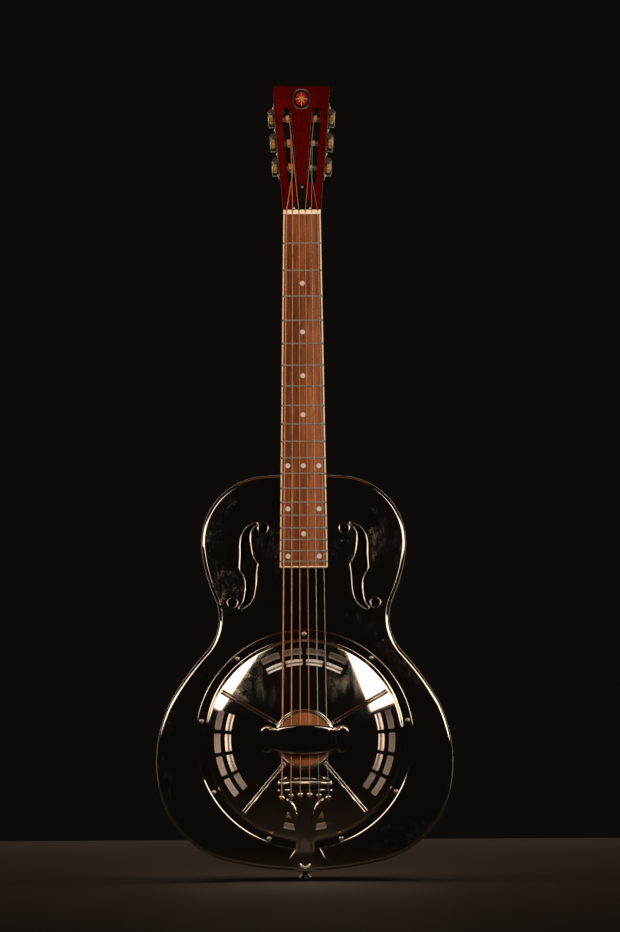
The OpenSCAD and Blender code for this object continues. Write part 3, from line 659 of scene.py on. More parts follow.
BONE = make_plastic("bone", (0.82, 0.74, 0.6), (0.93, 0.87, 0.75), 0.2, 160, 0.5, 0.08)
BLACK = make_plastic("black_plastic", (0.004, 0.0035, 0.0035), (0.008, 0.007, 0.006), 0.22, 90, 0.1)
BRASS = make_brass("brass", (0.62, 0.33, 0.06), (0.98, 0.62, 0.16), 0.75)
# the string balls get a darker copy of the brass, so their colour holds painted shade
SHADED_BALL_BRASS = make_brass("brass_ball_ends_painted_shade", (0.16, 0.08, 0.02), (0.42, 0.24, 0.08), 1.0)
WOUND = make_wound()
PEARL = make_gloss("pearl", (260, 3, None, 0.55, 2.5),
                   [(0.3, (0.46, 0.45, 0.46)), (0.5, (0.62, 0.61, 0.62)), (0.7, (0.5, 0.55, 0.56))],
                   0.15, 0.12, 5e-5, (0.6, 0.06))
ENAMEL = make_gloss("badge_enamel", (240, 4), [(0.35, (0.2, 0.006, 0.005)), (0.65, (0.34, 0.014, 0.01))],
                    0.1, 0.1, 4e-5, (1.0, 0.04))

# the nodes that keep their CAD meshes, by material
for mat, nodes in (
        (STEEL, ["soundwell"]), (SCREW, ["truss_rod", "biscuit_screw"]), (FRETWIRE, ["frets"]),
        (BONE, ["nut"]), (MAPLE, ["biscuit", "saddle"]), (MAHOGANY, ["neck_stick", "stick_supports"]),
        (ROSEWOOD, ["fretboard"]), (IVORY, ["fretboard_binding"]), (PEARL, ["position_dots"]),
        (BLACK, ["truss_rod_cover"]),
        (BRASS, ["truss_rod_nut"] + [f"tuner_gear_{n}" for n in NAMES]),
        (TUNER, ["tuner_plate_left", "tuner_plate_right"] + [
            f"{part}_{n}" for part in ("worm_shaft", "string_roller", "tuner_button") for n in NAMES])):
    for node in nodes:
        o = frame["nodes"][node]
        if not o.material_slots:
            o.data.materials.append(mat)
        for s in o.material_slots:
            s.material = mat

# ---- body

# radius and turn in degrees of each arc of the outline, from the tail to the shoulder
ARCS = [(383, 14.5), (109, 59.5), (159, 48), (328, 10.4), (-61, -66.6), (192, 18.3), (81.6, 91.3)]


def body_outline(step):
    """The body's outline from the tail, up the treble side and down the bass side."""
    x, z, heading, pts = 0.0, 0.0, 0.0, [(0.0, 0.0)]
    arcs = [(r, radians(a)) for r, a in ARCS]
    for k in range(len(arcs) + 1):
        if k < len(arcs):
            r, a = arcs[k]
        else:
            # the last arc meets the middle plane square on
            a = pi - heading
            r = x / sin(a)
        n = max(3, int(abs(r * a) / step))
        for j in range(1, n + 1):
            b = heading + a * j / n
            pts.append((x + r * (sin(b) - sin(heading)), z + r * (cos(heading) - cos(b))))
        x, z = pts[-1]
        heading += a
    half = pts[1:-1]
    return np.array(pts[:-1] + [(0.0, pts[-1][1])] + [(-p[0], p[1]) for p in reversed(half)])


F_UPPER, F_LOWER, F_EYE_R = (49.7, 413.8), (87.2, 322.4), 5.3
F_RUNS = [[(57.2, 420.4), (63.4, 418.2), (69, 414.3), (74.4, 406.3), (76.8, 394.5), (76.9, 380), (77.8, 365)],
          [(77.4, 362.4), (74.2, 358), (71.5, 351), (70.6, 342.5), (71, 333.5), (73.4, 323.5), (78.7, 316.4)],
          [(78.4, 315.4), (76.2, 315.2), (71.4, 318), (65.9, 322.7), (62.1, 329), (60.1, 336.8), (59.2, 345),
           (58.8, 355), (57.2, 369)],
          [(57.8, 370.6), (61, 375.3), (63.8, 382.3), (65.4, 391), (66.2, 401), (65, 409.9), (61.5, 415.6),
           (57.2, 419.4)]]


def circle(x, z, r, n):
    return np.array([(x + r * cos(a), z + r * sin(a)) for a in turns(n)])


def f_hole_loops(side):
    """Outlines of an F-hole's blade and its two eyes."""
    blade = resample(np.vstack([spline(r, 8) for r in F_RUNS]), 0.8, closed=True)
    eyes = [circle(*place, F_EYE_R, 40) for place in (F_UPPER, F_LOWER)]
    return [loop * np.array([side, 1]) for loop in [blade] + eyes]


plate("body_shell",
      [(body_outline(1.6), 4.4, None), (circle(0, WELL_Z, 121, 160), 0.6, 1.2)]
      + [(loop, 1.0, 4.0) for side in (-1, 1) for loop in f_hole_loops(side)],
      FRONT, BACK, NICKEL, "nickel_body", steps=8, replaces=["body_top", "body_sides", "body_back"])

BEAD_R, CREASE_R = 0.95, 1.15
# rolled beads round the F-holes
for label, side in (("bass", -1), ("treble", 1)):
    parts = []
    for loop in f_hole_loops(side):
        if area2(loop) < 0:
            loop = loop[::-1]
        loop = loop - left_normals(loop) * BEAD_R
        parts.append(ring_tube([[p[0], FRONT + 0.25, p[1]] for p in loop], BEAD_R, 14))
    piece(f"f_hole_bead_{label}", *joined(parts), NICKEL, "nickel_body")

# a short pressed crease in the top beside each edge of the strap, from a to b
for label, a, b in (("bass", (-10, 27), (-19, 13)), ("treble", (16, 29), (24, 13))):
    along = np.linspace(0, 1, 15)
    path = [[a[0] + (b[0] - a[0]) * t, FRONT + 0.35, a[1] + (b[1] - a[1]) * t] for t in along]
    swell = [CREASE_R * sin(pi * (0.04 + 0.92 * t)) ** 0.5 for t in along]
    piece(f"top_crease_{label}", *tube(path, swell, 16), NICKEL, "nickel_body")

# ---- resonator


def from_well(r, a, h):
    """Radius, angle from +X toward +Z, and height over the top plate."""
    return [r * cos(a), FRONT - h, WELL_Z + r * sin(a)]


def dome(r):
    return 12 - r * r / 1840


# the cone's height over the top plate, with fine spinning ripples
cone_line = [(0.01, 3.5), (20, 3.5), (32, 3.5), (34.5, 3.1)]
cone_line += [(r, 3.0 - (r - 36) * 9.3 / 34 + 0.12 * cos((r - 36) * 1.1)) for r in np.arange(36, 70, 1.2)]
cone_line += [(70, -6.5), (72, -7.2)]
cone_line += [(r, -6.5 - (r - 70) * 13.7 / 41 - 0.25 + 0.18 * cos((r - 70) * 0.9))
              for r in np.arange(74, 110, 1.2)]
cone_line += [(111, -20.2), (113, -20.4), (120, -20.4)]
cone = lathe(cone_line, (0, FRONT, WELL_Z), (0, -1, 0), 180)
thicken(piece("spun_cone", *cone, SPUN, "spun_aluminium", replaces=["cone"]), 0.6)

# slots by radius and by angle in degrees; ribs by angle
SLOT_ROWS = [(89.0, 96.5), (102.0, 109.5)]
SLOT_TURN, SLOT_PITCH = 12.6, 15.2
SLOT_CENTRES = [g + p * SLOT_PITCH for g in (90, 190, 350) for p in (-1.5, -0.5, 0.5, 1.5)]
SLOT_CENTRES += [270 + p * SLOT_PITCH for p in (-0.5, 0.5)]
RIBS, RIB_HALF = [30, 150, 230, 310], 2.5


def turn_from(a, b):
    """Degrees from b to a, between -180 and 180."""
    return (a - b + 180) % 360 - 180


def cover_height(r, a):
    """Height of the coverplate's face at a radius and an angle in degrees, for the domed part."""
    h = dome(r)
    for rib in RIBS:
        d = turn_from(a, rib)
        off = abs(r * sin(radians(d)))
        if abs(d) < 12 and off < RIB_HALF:
            ends = ease(min(1, max(0, (r - 36.6) / 2.5)) * min(1, max(0, (116.2 - r) / 2.5)))
            flat = 0.55 if off < 1.5 else 0.55 * max(0, 1 - (off - 1.5) / 1.0)
            h += ends * (flat + 0.75 * exp(-((off - 1.5) / 0.5) ** 2))
    return h


def coverplate():
    # angles of the grid: even steps, finer at the ribs, with a line at each slot's ends and corners
    ends = (-SLOT_TURN / 2, -SLOT_TURN / 2 + 0.55, SLOT_TURN / 2 - 0.55, SLOT_TURN / 2)
    edges = {round((c + e) % 360, 3) for c in SLOT_CENTRES for e in ends}
    every = set(np.round(np.arange(0, 360, 1.5), 3)) | edges
    for rib in RIBS:
        every |= set(np.round((rib + np.arange(-4.5, 4.51, 0.25)) % 360, 3))
    every = sorted(every)
    angles = every[:1]
    for a in every[1:]:
        if a - angles[-1] >= 0.18:
            angles.append(a)
        elif a in edges:
            angles[-1] = a
    # rings: the rolled edge of the centre hole, the dome, and the rim down to the top plate
    lip = dome(33)
    inner = [(33.0, lip - 1.0), (33.0, lip + 0.3), (33.15, lip + 0.75), (33.6, lip + 1.05), (34.2, lip + 1.1),
             (34.8, lip + 0.9), (35.3, lip + 0.5), (35.8, lip + 0.15), (36.6, dome(36.6))]
    domed = sorted(set(np.arange(38, 116, 2.0)) | {
        37.2, 89, 90, 95.5, 96.5, 102, 103, 108.5, 109.5, 113, 114.5, 115.4, 116.2})
    outer = [(116.9, dome(116.9)), (117.6, dome(117.6) - 0.12), (118.2, 3.9), (118.8, 3.1), (119.3, 2.3),
             (119.9, 1.6), (120.6, 1.15), (121.5, 1.0), (124, 1.0), (127, 1.0), (129.6, 1.0), (130.3, 1.08),
             (130.9, 1.35), (131.4, 1.45), (131.9, 1.25), (132.2, 0.8), (COVER_R, 0.05)]
    rings = inner + [(r, None) for r in domed] + outer
    n = len(angles)
    verts = [from_well(r, radians(a), cover_height(r, a) if h is None else h)
             for r, h in rings for a in angles]
    faces = []
    for k, q in enumerate(quads(len(rings), n)):
        i, j = divmod(k, n)
        r0, r1 = rings[i][0], rings[i + 1][0]
        row = [s for s in SLOT_ROWS if s[0] - 0.01 <= r0 and r1 <= s[1] + 0.01]
        mid = (angles[j] + angles[(j + 1) % n] + (360 if j == n - 1 else 0)) / 2
        d = min((turn_from(mid, c) for c in SLOT_CENTRES), key=abs)
        if not row or abs(d) >= SLOT_TURN / 2:
            faces.append(q)
            continue
        low, high = abs(r0 - row[0][0]) < 0.01, abs(r1 - row[0][1]) < 0.01
        left, right = d < -SLOT_TURN / 2 + 0.5, d > SLOT_TURN / 2 - 0.5
        if (low or high) and (left or right):
            # a slot's corner keeps the half of its face that is outside the slot
            drop = (2 if left else 3) if low else (1 if left else 0)
            faces.append(q[:drop] + q[drop + 1:])
    ob = piece("coverplate_dome", verts, faces, TRIM, "nickel_trim", replaces=["coverplate"], sharp=None)
    weld(ob, 1e-7, None, outward=False)
    thicken(ob, 0.9, sharp=50)


coverplate()


BOX_FACES = [(0, 1, 3, 2), (4, 6, 7, 5), (0, 4, 5, 1), (2, 3, 7, 6), (0, 2, 6, 4), (1, 5, 7, 3)]


def screw_heads(name, spots, r, h, replaces):
    """Round-headed screws: spots are (point, outward axis, turn of the slot)."""
    n = 32
    outline = [(r, -0.2), (r, 0.15 * h), (r * 0.97, 0.4 * h), (r * 0.86, 0.68 * h), (r * 0.66, 0.88 * h),
               (r * 0.36, 0.98 * h), (0.01, h)]
    heads, slots = [], []
    for point, axis, turn in spots:
        ax = Vector(axis).normalized()
        v, f = lathe(outline, point, ax, n)
        heads.append((v, f + [tuple(range(n))]))
        u = ax.orthogonal().normalized()
        u.rotate(Matrix.Rotation(turn, 3, ax))
        u, w, ax = np.array(u), np.array(ax.cross(u)), np.array(ax)
        slots.append(([np.array(point) + u * sx * (r + 1) + w * sy * 0.13 * r + ax * sz
                       for sx in (-1, 1) for sy in (-1, 1) for sz in (0.45 * h, h + 1)], BOX_FACES))
    ob = piece(name, *joined(heads), SCREW, "screw_steel", replaces=replaces)
    weld(ob, 2e-5, 50)
    cut(ob, cutter(slots), 40)


screw_heads("coverplate_screw_heads",
            [(from_well(127, radians(90 + 40 * k), 1.0), (0, -1, 0), 0.7 * k) for k in range(9)],
            3.0, 1.5, ["coverplate_screws"])

# ---- palm rest

EDGE_R = 2.2


def round_line(points, times):
    """Cuts the corners of an open line a few times."""
    p = np.array(points, float)
    for _ in range(times):
        q = [p[0]]
        for a, b in zip(p, p[1:]):
            q += [0.75 * a + 0.25 * b, 0.25 * a + 0.75 * b]
        q.append(p[-1])
        p = np.array(q)
    return p


def rest_half_width(x):
    """Half the palm rest's width: a barrel in the middle and a round ear at each end."""
    x = abs(x)
    barrel = 17.4 - 4 * min(1, x / 37.5) ** 2
    ear = 16.4 if x < 45.5 else 8.4 + sqrt(max(0.0, 64 - (x - 45.5) ** 2))
    t = ease(min(1, max(0, (x - 41.6) / 2.2)))
    return barrel * (1 - t) + ear * t


def palm_rest():
    half = [(53.46, 10.35), (53.4, 11.3), (52.9, 12.1), (51.6, 12.45), (48, 12.65), (44, 12.9), (43.2, 13.2),
            (42.9, 15.0), (42.2, 15.9), (41.3, 16.2), (40.9, 17), (40.5, 19.2), (39.9, 20.1), (39.1, 20.4),
            (38.7, 21.4), (38.3, 23.6), (37.7, 24.6), (36.9, 25), (36.5, 26), (35.9, 27.6), (34.6, 28.5),
            (28, 29.4), (18, 30.2), (8, 30.8), (0, 30.95)]
    line = resample(mirrored(round_line(half, 2)), 0.55)
    rim = np.array([0, 0.02, 0.05, 0.09, 0.14])
    across = np.concatenate([-1 + rim, np.linspace(-0.8, 0.8, 21), 1 - rim[::-1]])
    along = np.gradient(line, axis=0)
    along /= norm(along, axis=1)[:, None]
    verts = []
    for (x, h), t in zip(line, along):
        w = rest_half_width(x)
        n = np.array([t[1], -t[0]])
        if n[1] < 0:
            n = -n
        for s in across:
            edge = w * (1 - abs(s))
            drop = EDGE_R - sqrt(max(0.0, EDGE_R ** 2 - (EDGE_R - edge) ** 2)) if edge < EDGE_R else 0.0
            q = np.array([x, h]) + n * (0.5 * (1 - s * s) - drop * 0.9 - 0.25)
            verts.append((q[0], FRONT - max(q[1], dome(abs(q[0])) - 0.3), WELL_Z + s * w))
    ob = piece("palm_rest_cover", verts, quads(len(line), len(across), close_cols=False), TRIM, "nickel_trim",
               replaces=["palm_rest"])
    thicken(ob, 1.1, sharp=60)


palm_rest()

# ---- tailpiece


EYE_R = 2.3


def ball_z(x):
    return 89.6 - 3.4 * (2 * x / TAIL_SPREAD) ** 2


def string_x(i, spread):
    return spread * (i / 5 - 0.5)


# the strap from the end pin over the edge to its top, as (y, z), and half its width at each z
STRAP = resample(round_line([
    (9, -1.5), (-30, -1.5), (-41.6, -1.5), (-43.1, 1.5), (FRONT - 1.7, 8), (FRONT - 1.8, 20),
    (FRONT - 2.2, 24), (FRONT - 4.6, 31), (FRONT - 7.2, 38), (FRONT - 9.7, 60), (FRONT - 11.9, 82),
    (FRONT - 14.1, 113), (FRONT - 14.2, 114)], 3), 0.5)
STRAP_S = lengths(STRAP)
STRAP_HALF = spline([
    (11.5, -60), (11.5, 10), (11.3, 22), (11.6, 40), (14.6, 60), (22, 74), (30.5, 82), (33.3, 92),
    (33.2, 103), (30.5, 109), (25, 111.6), (13, 112.9), (0, 113.2)], 6)


def strap_point(x, z, lift):
    """A point of the strap at a place across and along it, lifted along its own normal."""
    def at(s):
        return np.array([np.interp(s, STRAP_S, STRAP[:, k]) for k in (0, 1)])

    # above z 20 the place is a height; below it, where the strap bends, it is a length along the strap
    if z > 20:
        s = np.interp(z, STRAP[:, 1][100:], STRAP_S[100:])
    else:
        s = np.interp(20, STRAP[:, 1][30:], STRAP_S[30:]) - (20 - z)
    (y, up), (ty, tz) = at(s), at(s + 0.6) - at(s - 0.6)
    n = hypot(ty, tz) + 1e-9
    return (x, y - lift * tz / n, up + lift * ty / n)


def tailpiece():
    loop = resample(mirrored(STRAP_HALF), 1.0, closed=True)
    eyes = [(x, ball_z(x)) for x in (string_x(i, TAIL_SPREAD) for i in range(6))]
    holes = [circle(x, z - 0.4, EYE_R, 20) for x, z in eyes]
    bead = resample(mirrored(spline([
        (-21, 84.5), (-16, 80.5), (-11.5, 72), (-8.6, 60), (-7.2, 46), (-6.8, 30), (-7.2, 14), (-6.2, 7.5),
        (-3.4, 4.2), (0, 3.2)], 8)), 0.4)
    # a staggered grid of points between the outline and the holes
    grid = np.array([(x + (0.42 if k % 2 else 0), z) for k, z in enumerate(np.arange(-59, 113.5, 0.85))
                     for x in np.arange(-34, 34.01, 0.85)])
    grid = grid[inside(loop, grid)]
    grid = grid[nearest(grid, loop) > 0.7]
    for h in holes:
        grid = grid[norm(grid - h.mean(0), axis=1) > EYE_R + 0.6]
    pts, tris = fill([loop] + holes, grid)
    verts = []
    for (x, z), to_edge, to_bead in zip(pts, nearest(pts, loop), nearest(pts, bead)):
        lift = 1.7 * cos(pi * to_bead / 3.4) ** 2 if to_bead < 1.7 else 0.0
        # rolled lip along the top and two ridges below it, arched with the plate
        arch = 1.5 * (x / 33) ** 2
        for centre, w, height in ((110.6, 1.9, 1.7), (105.3, 1.5, 1.15), (97.2, 1.2, 0.7)):
            d = abs(z + arch - centre)
            if d < w and abs(x) < 33:
                lift += height * cos(pi * d / 2 / w) ** 2
        if z > 83 and to_edge < 2.2:
            lift -= 1.0 * (1 - to_edge / 2.2) ** 2
        # a raised ring round each eye
        for ex, ez in eyes:
            d = hypot(x - ex, z - ez + 0.4)
            if 2.0 < d < 3.9:
                lift += 0.8 * cos(pi * (d - 2.9) / 2.4) ** 2
        verts.append(strap_point(x, z, lift))
    ob = piece("tailpiece_plate", verts, tris, TRIM, "nickel_trim", replaces=["tailpiece"])
    thicken(ob, 1.0, sharp=60)


tailpiece()

pin = lathe([
    (0.01, 13.2), (3.2, 13.2), (4.6, 13.0), (5.6, 12.3), (6.4, 11.7), (7.0, 11.1), (7.0, 10.4), (6.6, 9.9),
    (5.2, 9.3), (4.6, 8.6), (4.4, 7.0), (4.5, 1.6), (6.2, 1.6), (6.4, 1.2), (6.4, 0.2)],
    (0, 0, 0.7), (0, 0, -1), 64)
piece("end_pin_button", *pin, TRIM, "nickel_trim", replaces=["end_pin"])

# ---- neck


def neck_w(z):
    return NUT_W + (JOINT_W - NUT_W) * (NUT_Z - z) / NUT_Z


def neck():
    """Back of the neck with its heel, lofted from the body joint to the headstock's root."""
    depth = spline([(0, 64), (4, 55), (10, 42), (18, 31), (26, 24.5), (36, 20), (52, 17.3), (80, 16.5),
                    (150, 15.8), (230, 15.1), (300, 14.6)], 6)
    angles = np.linspace(0, pi, 41)

    def ring(z):
        d = float(np.interp(z, depth[:, 0], depth[:, 1]))
        # the heel narrows toward its cap
        heel = 0.42 * (1 - z / 52) if z < 52 else 0.0
        return [np.array([neck_w(z) / 2 * cos(a) * (1 - heel * sin(a) ** 3),
                          BOARD_T + d * sin(a) ** 0.85, z]) for a in angles]

    stations = np.concatenate([[0], np.linspace(1, 60, 34), np.linspace(66, 300, 40)])
    rows = [[from_neck(p) for p in ring(z)] for z in stations]
    last, root = ring(300), []
    for a in angles:
        c, s = cos(a), sin(a)
        root.append(np.array(head_to_neck([HEAD_ROOT / 2 * copysign(abs(c) ** 0.35, c),
                                           (HEAD_T - 0.05) * abs(s) ** 0.35, -0.02])))
    for t in np.linspace(0, 1, 22)[1:]:
        mix = np.array([ease(t), ease(t), t])
        rows.append([from_neck(a * (1 - mix) + b * mix) for a, b in zip(last, root)])
    m = len(angles)
    ends = [tuple(range(m)), tuple((len(rows) - 1) * m + j for j in range(m))]
    ob = piece("neck_back", [p for row in rows for p in row], quads(len(rows), m) + ends,
               RED, "red_mahogany", replaces=["neck"])
    weld(ob, 1e-6, 50)


neck()


def arc(x, z, r, start, step, n):
    """Points round a centre from an angle in degrees, n of them, step degrees apart."""
    angles = [radians(start + k * step) for k in range(n)]
    return [(x + r * cos(a), z + r * sin(a)) for a in angles]


def headstock():
    r, h = 2.2, HEAD_LEN
    outer = [(-HEAD_ROOT / 2, 0.0), (HEAD_ROOT / 2, 0.0)]
    outer += arc(HEAD_TIP / 2 - r - 0.1, h - r, r, 0, 15, 7)
    outer += arc(-HEAD_TIP / 2 + r + 0.1, h - r, r, 90, 15, 7)
    loops = [(resample(outer, 2.0, closed=True), 0.9, None)]
    cuts = []
    for side in (-1, 1):
        half = SLOT_W / 2
        x0 = -side * (WALL_T + half)
        slot = arc(x0, SLOT_Z1 - half, half, 0, 10, 19) + arc(x0, SLOT_Z0 + half, half, 180, 10, 19)
        turned = [side_to_head(side, [x, 0, z])[::2] for x, z in slot]
        loops.append((resample(turned, 1.5, closed=True), 0.9, None))
        # the ramp that the strings run down into the slot, and the holes for the rollers
        x0 = -WALL_T - SLOT_W if side > 0 else WALL_T
        ramp = [(-1.5, RAMP_Z - 2.2), (9, SLOT_Z0 + half), (-1.5, SLOT_Z0 + half)]
        cuts.append(([from_side(side, [x, y, z]) for x in (x0 + 0.8, x0 + SLOT_W - 0.8) for y, z in ramp],
                     [(0, 1, 2), (5, 4, 3), (0, 3, 4, 1), (1, 4, 5, 2), (2, 5, 3, 0)]))
        for z in ROLLER_PLACES:
            for a, b, rr in ((-WALL_T - 1, 1.0, 3.4), (-WALL_T - SLOT_W - 4.5, -WALL_T - SLOT_W + 1, 2.55)):
                cuts.append(tube([from_side(side, [side * q, AXIS_Y, z]) for q in (a, b)], rr, 28))
    # the pocket for the truss rod's nut
    pocket = [from_head([x, y, z]) for x in (-5.5, 5.5) for y in (-1, 12.5) for z in (-1, 22)]
    cuts.append((pocket, BOX_FACES))
    ob = plate("headstock_body", loops, 0, HEAD_T, RED_HEAD, "red_mahogany", place=from_head,
               replaces=["headstock"])
    cut(ob, cutter(cuts), 30)


headstock()

HEAD_OUT = from_head([0, -1, 0]) - from_head([0, 0, 0])
screw_heads("truss_cover_screw_heads",
            [(from_head([x, -2.0, z]), HEAD_OUT, 0.4 + x) for x, z in ((0, 33.6), (10.3, 3.8), (-10.3, 3.8))],
            2.1, 1.1, ["truss_cover_screws"])
screw_heads("tuner_plate_screw_heads",
            [(from_side(side, [side * PLATE_T, AXIS_Y, z]),
              from_side(side, [side, 0, 0]) - from_side(side, [0, 0, 0]), 0.6 * k)
             for side in (-1, 1) for k, z in enumerate(PLATE_SCREWS)],
            2.6, 1.5, ["tuner_plate_screws"])

# ---- headstock medallion

BADGE_Z = 160


def medallion():
    """A plain enamel oval with a nickel rim and a rosette of eight leaves."""
    n = 96

    def rows(steps):
        """Verts and faces of rounded ovals, each (scale, y)."""
        out = []
        for scale, y in steps:
            for c, s in ((cos(a), sin(a)) for a in turns(n)):
                out.append(from_head([11 * scale * copysign(abs(c) ** 0.8, c), y,
                                      BADGE_Z + 14.7 * scale * copysign(abs(s) ** 0.8, s)]))
        return out, quads(len(steps), n)

    def disc(name, mat, slot, steps, taken=()):
        v, f = rows(steps)
        f.append(tuple((len(steps) - 1) * n + k for k in range(n)))
        weld(piece(name, v, f, mat, slot, replaces=taken))

    disc("medallion_ground", BLACK, "black_plastic",
         [(0.9, 0.05), (0.9, -0.5), (0.84, -0.58), (0.7, -0.62), (0.02, -0.64)])
    disc("medallion_enamel", ENAMEL, "badge_enamel",
         [(0.66, -0.3), (0.66, -0.78), (0.62, -0.9), (0.45, -0.98), (0.2, -1.02), (0.02, -1.03)],
         ["headstock_badge"])
    rim = rows([(1.0, 0.02), (1.0, -0.7), (0.985, -1.0), (0.955, -1.18), (0.92, -1.1), (0.895, -0.8),
                (0.89, -0.4)])
    weld(piece("medallion_rim", *rim, TUNER, "tuner_nickel"))
    parts = []
    for k in range(8):
        a = pi / 4 * k
        reach = 10.8 if k % 2 == 0 else 7.2
        path, rr = [], []
        for t in np.linspace(0, 1, 11):
            d = 1.4 + t * (reach - 1.4)
            path.append(from_head([d * cos(a) * 0.8, -0.86 + 0.02 * d, BADGE_Z + d * sin(a)]))
            rr.append(0.08 + 0.8 * sin(pi * min(1, 0.1 + 0.9 * t)) ** 0.8)
        parts.append(tube(path, rr, 10))
    parts.append(lathe([(1.5, 0.0), (1.45, 0.25), (1.1, 0.5), (0.5, 0.62), (0.01, 0.64)],
                       from_head([0, -0.72, BADGE_Z]), HEAD_OUT, 24))
    piece("medallion_rosette", *joined(parts), BRASS, "brass")


medallion()

# ---- strings

SADDLE = from_neck([0, -5.5, -NUT_Z])
WOUND_STRINGS, TURNS = 4, [4.2, 4.6, 5, 5.5, 7, 8]
BALL = [(0.9, -1.7), (1.7, -1.7), (2.0, -1.4), (2.0, -0.9), (1.75, -0.6), (1.75, 0.6), (2.0, 0.9), (2.0, 1.4),
        (1.7, 1.7), (0.9, 1.7), (0.9, -1.7)]


def string_path(i):
    """From the ball over the saddle and the nut to the roller."""
    r, row, side = STRING_R[i], ROWS[i], side_of(i)
    tail = np.array([string_x(i, TAIL_SPREAD), FRONT - 13.2, ball_z(string_x(i, TAIL_SPREAD))])
    over = np.array([string_x(i, SADDLE_SPREAD), SADDLE[1] - r, SADDLE[2]])
    nut = from_neck([string_x(i, NUT_SPREAD), -1.7 - r, NUT_Z + 1])
    nut2 = from_neck([string_x(i, NUT_SPREAD) * 1.004, -1.5 - r, NUT_Z + 3.2])
    end = from_head([side * ROLL_X[row], AXIS_Y - ROLLER_R - r, ROLLER_Z + row * TUNER_PITCH - 0.3])
    pts = [tail] + [tail + (over - tail) * t for t in np.linspace(0, 1, 9)[1:-1]]
    pts += [over + (tail - over) * 0.02, over, over + (nut - over) * 0.002]
    pts += [over + (nut - over) * t for t in np.linspace(0, 1, 50)[1:-1]]
    return pts + [nut, nut2] + [nut2 + (end - nut2) * t for t in np.linspace(0, 1, 10)[1:]]


def string_wire(i, path):
    """The string, and the twisted wraps over its ball."""
    r = STRING_R[i]
    along = (path[1] - path[0]) / norm(path[1] - path[0])
    wraps = np.linspace(0, 7, 15)
    swell = [r * (1.5 + 0.22 * cos(t * 4)) * (1 if t < 6.4 else 0.8) for t in wraps]
    return joined([tube(path, r, 14), tube([path[0] + along * t for t in wraps], swell, 12)])


def string_winding(i):
    """The turns of string round its roller, outward from the string; wound strings have a second layer."""
    r, side, row, count = STRING_R[i], side_of(i), ROWS[i], TURNS[i]
    a, zc = side * SIDE_A, ROLLER_PLACES[row]
    # distance along the roller's axis from the headstock's edge to the string
    along = (side * ROLL_X[row] - side * HEAD_ROOT / 2 - zc * sin(a)) / cos(a)
    pitch, low, steps = 2 * r * 1.03, ROLLER_R + r * 0.96, int(count * 28)
    layers = [[], []]
    for k in range(steps + 1):
        ph = 2 * pi * count * k / steps
        for path, rad, x in zip(layers, (low, low + 1.75 * r + 0.25 * sin(ph * 0.37 + i)),
                                (along + side * pitch * count * k / steps,
                                 along + side * pitch * (count * k / steps * 0.86 + 0.3))):
            path.append(from_side(side, [x, AXIS_Y - rad * cos(ph), zc + rad * sin(ph)]))
    return joined([tube(path, r, 10) for path in layers[:2 if i < WOUND_STRINGS else 1]])


for i, n in enumerate(NAMES):
    mat, slot = (WOUND, "wound_bronze") if i < WOUND_STRINGS else (PLAIN_STRING, "plain_string")
    path = string_path(i)
    piece(f"string_{n}_wire", *string_wire(i, path), mat, slot, replaces=[f"string_{n}"])
    ball = lathe(BALL, path[0] + np.array([0, 0.5, -0.4]), (1, 0, 0), 28)
    # the balls keep the brass slot; their darker brass is painted shade
    piece(f"string_{n}_ball", *ball, SHADED_BALL_BRASS, "brass")
    piece(f"string_{n}_winding", *string_winding(i), mat, slot, body=f"tuner_post_{n}")

# ---- floor, light and camera

floor = new_object("floor", [(x, y, FLOOR_Z / MM) for x, y in (
    (-1500, -740), (1500, -740), (1500, 900), (-1500, 900))], [(0, 1, 2, 3)])
p = Paint("floor_paint")
p.set("Base Color", p.ramp(p.noise(3, 3), (0.3, (0.5, 0.47, 0.44)), (0.7, (0.56, 0.53, 0.5))))
p.set("Roughness", 0.7)
p.bump((p.noise(300, 3), 0.1, 0.0004))
floor.data.materials.append(p.mat)

WARM = (1.0, 0.84, 0.68)


def place_axes(ob, x, y, z, at):
    """Puts an object at a point, with its own axes along three directions."""
    m = Matrix((x, y, z)).transposed().to_4x4()
    m.translation = Vector(at)
    ob.matrix_world = m


def softbox(name, centre, right, up, size, power, colour=WARM):
    """An area light with its edges along right and up; it shines along up x right."""
    x, y = Vector(right).normalized(), Vector(up)
    y = (y - x * y.dot(x)).normalized()
    light = bpy.data.lights.new(name, "AREA")
    light.shape, light.size, light.size_y = "RECTANGLE", size[0], size[1]
    light.energy, light.color = power, colour
    ob = add(name, light)
    place_axes(ob, x, y, x.cross(y), centre)
    return ob


def named(*names):
    return [bpy.data.objects[n] for n in names]


def light_only(lights, objects, state, shadows=False):
    """Lights that reach, or with shadows=True are stopped by, only these objects or all but these."""
    group = bpy.data.collections.new(("shade_" if shadows else "lit_") + lights[0].name)
    for ob in objects:
        group.objects.link(ob)
    for c in group.collection_objects:
        c.light_linking.link_state = state
    for ob in lights:
        setattr(ob.light_linking, "blocker_collection" if shadows else "receiver_collection", group)


AHEAD, SIDEWAYS, UP = (0, 1, 0), (1, 0, 0), (0, 0, 1)

# front pair, either side of the camera, leaning in at the top, and side panels for the rims
light_only([
    softbox("front_left", (-0.494, -1.442, 0.6165), (0.832, 0, -0.554), (0.554, 0, 0.832), (0.4, 0.5), 1.5),
    softbox("front_right", (0.485, -1.442, 0.585), (0.931, 0, 0.365), (-0.365, 0, 0.931), (0.43, 0.46), 1.5),
    softbox("side_left", (-1.25, -0.95, 0.66), (0.65, -0.76, 0), UP, (1.1, 0.46), 3.4),
    softbox("side_right", (1.25, -0.95, 0.62), (0.65, 0.76, 0), UP, (1.1, 0.58), 5)], [floor], "EXCLUDE")
light_only([softbox(f"back_{label}", (side * 1.1, 1.3, 0.7), (-1, side * 0.8, 0), UP, (0.7, 1.1), 8)
            for label, side in (("left", -1), ("right", 1))], [floor] + named("body_shell"), "EXCLUDE")
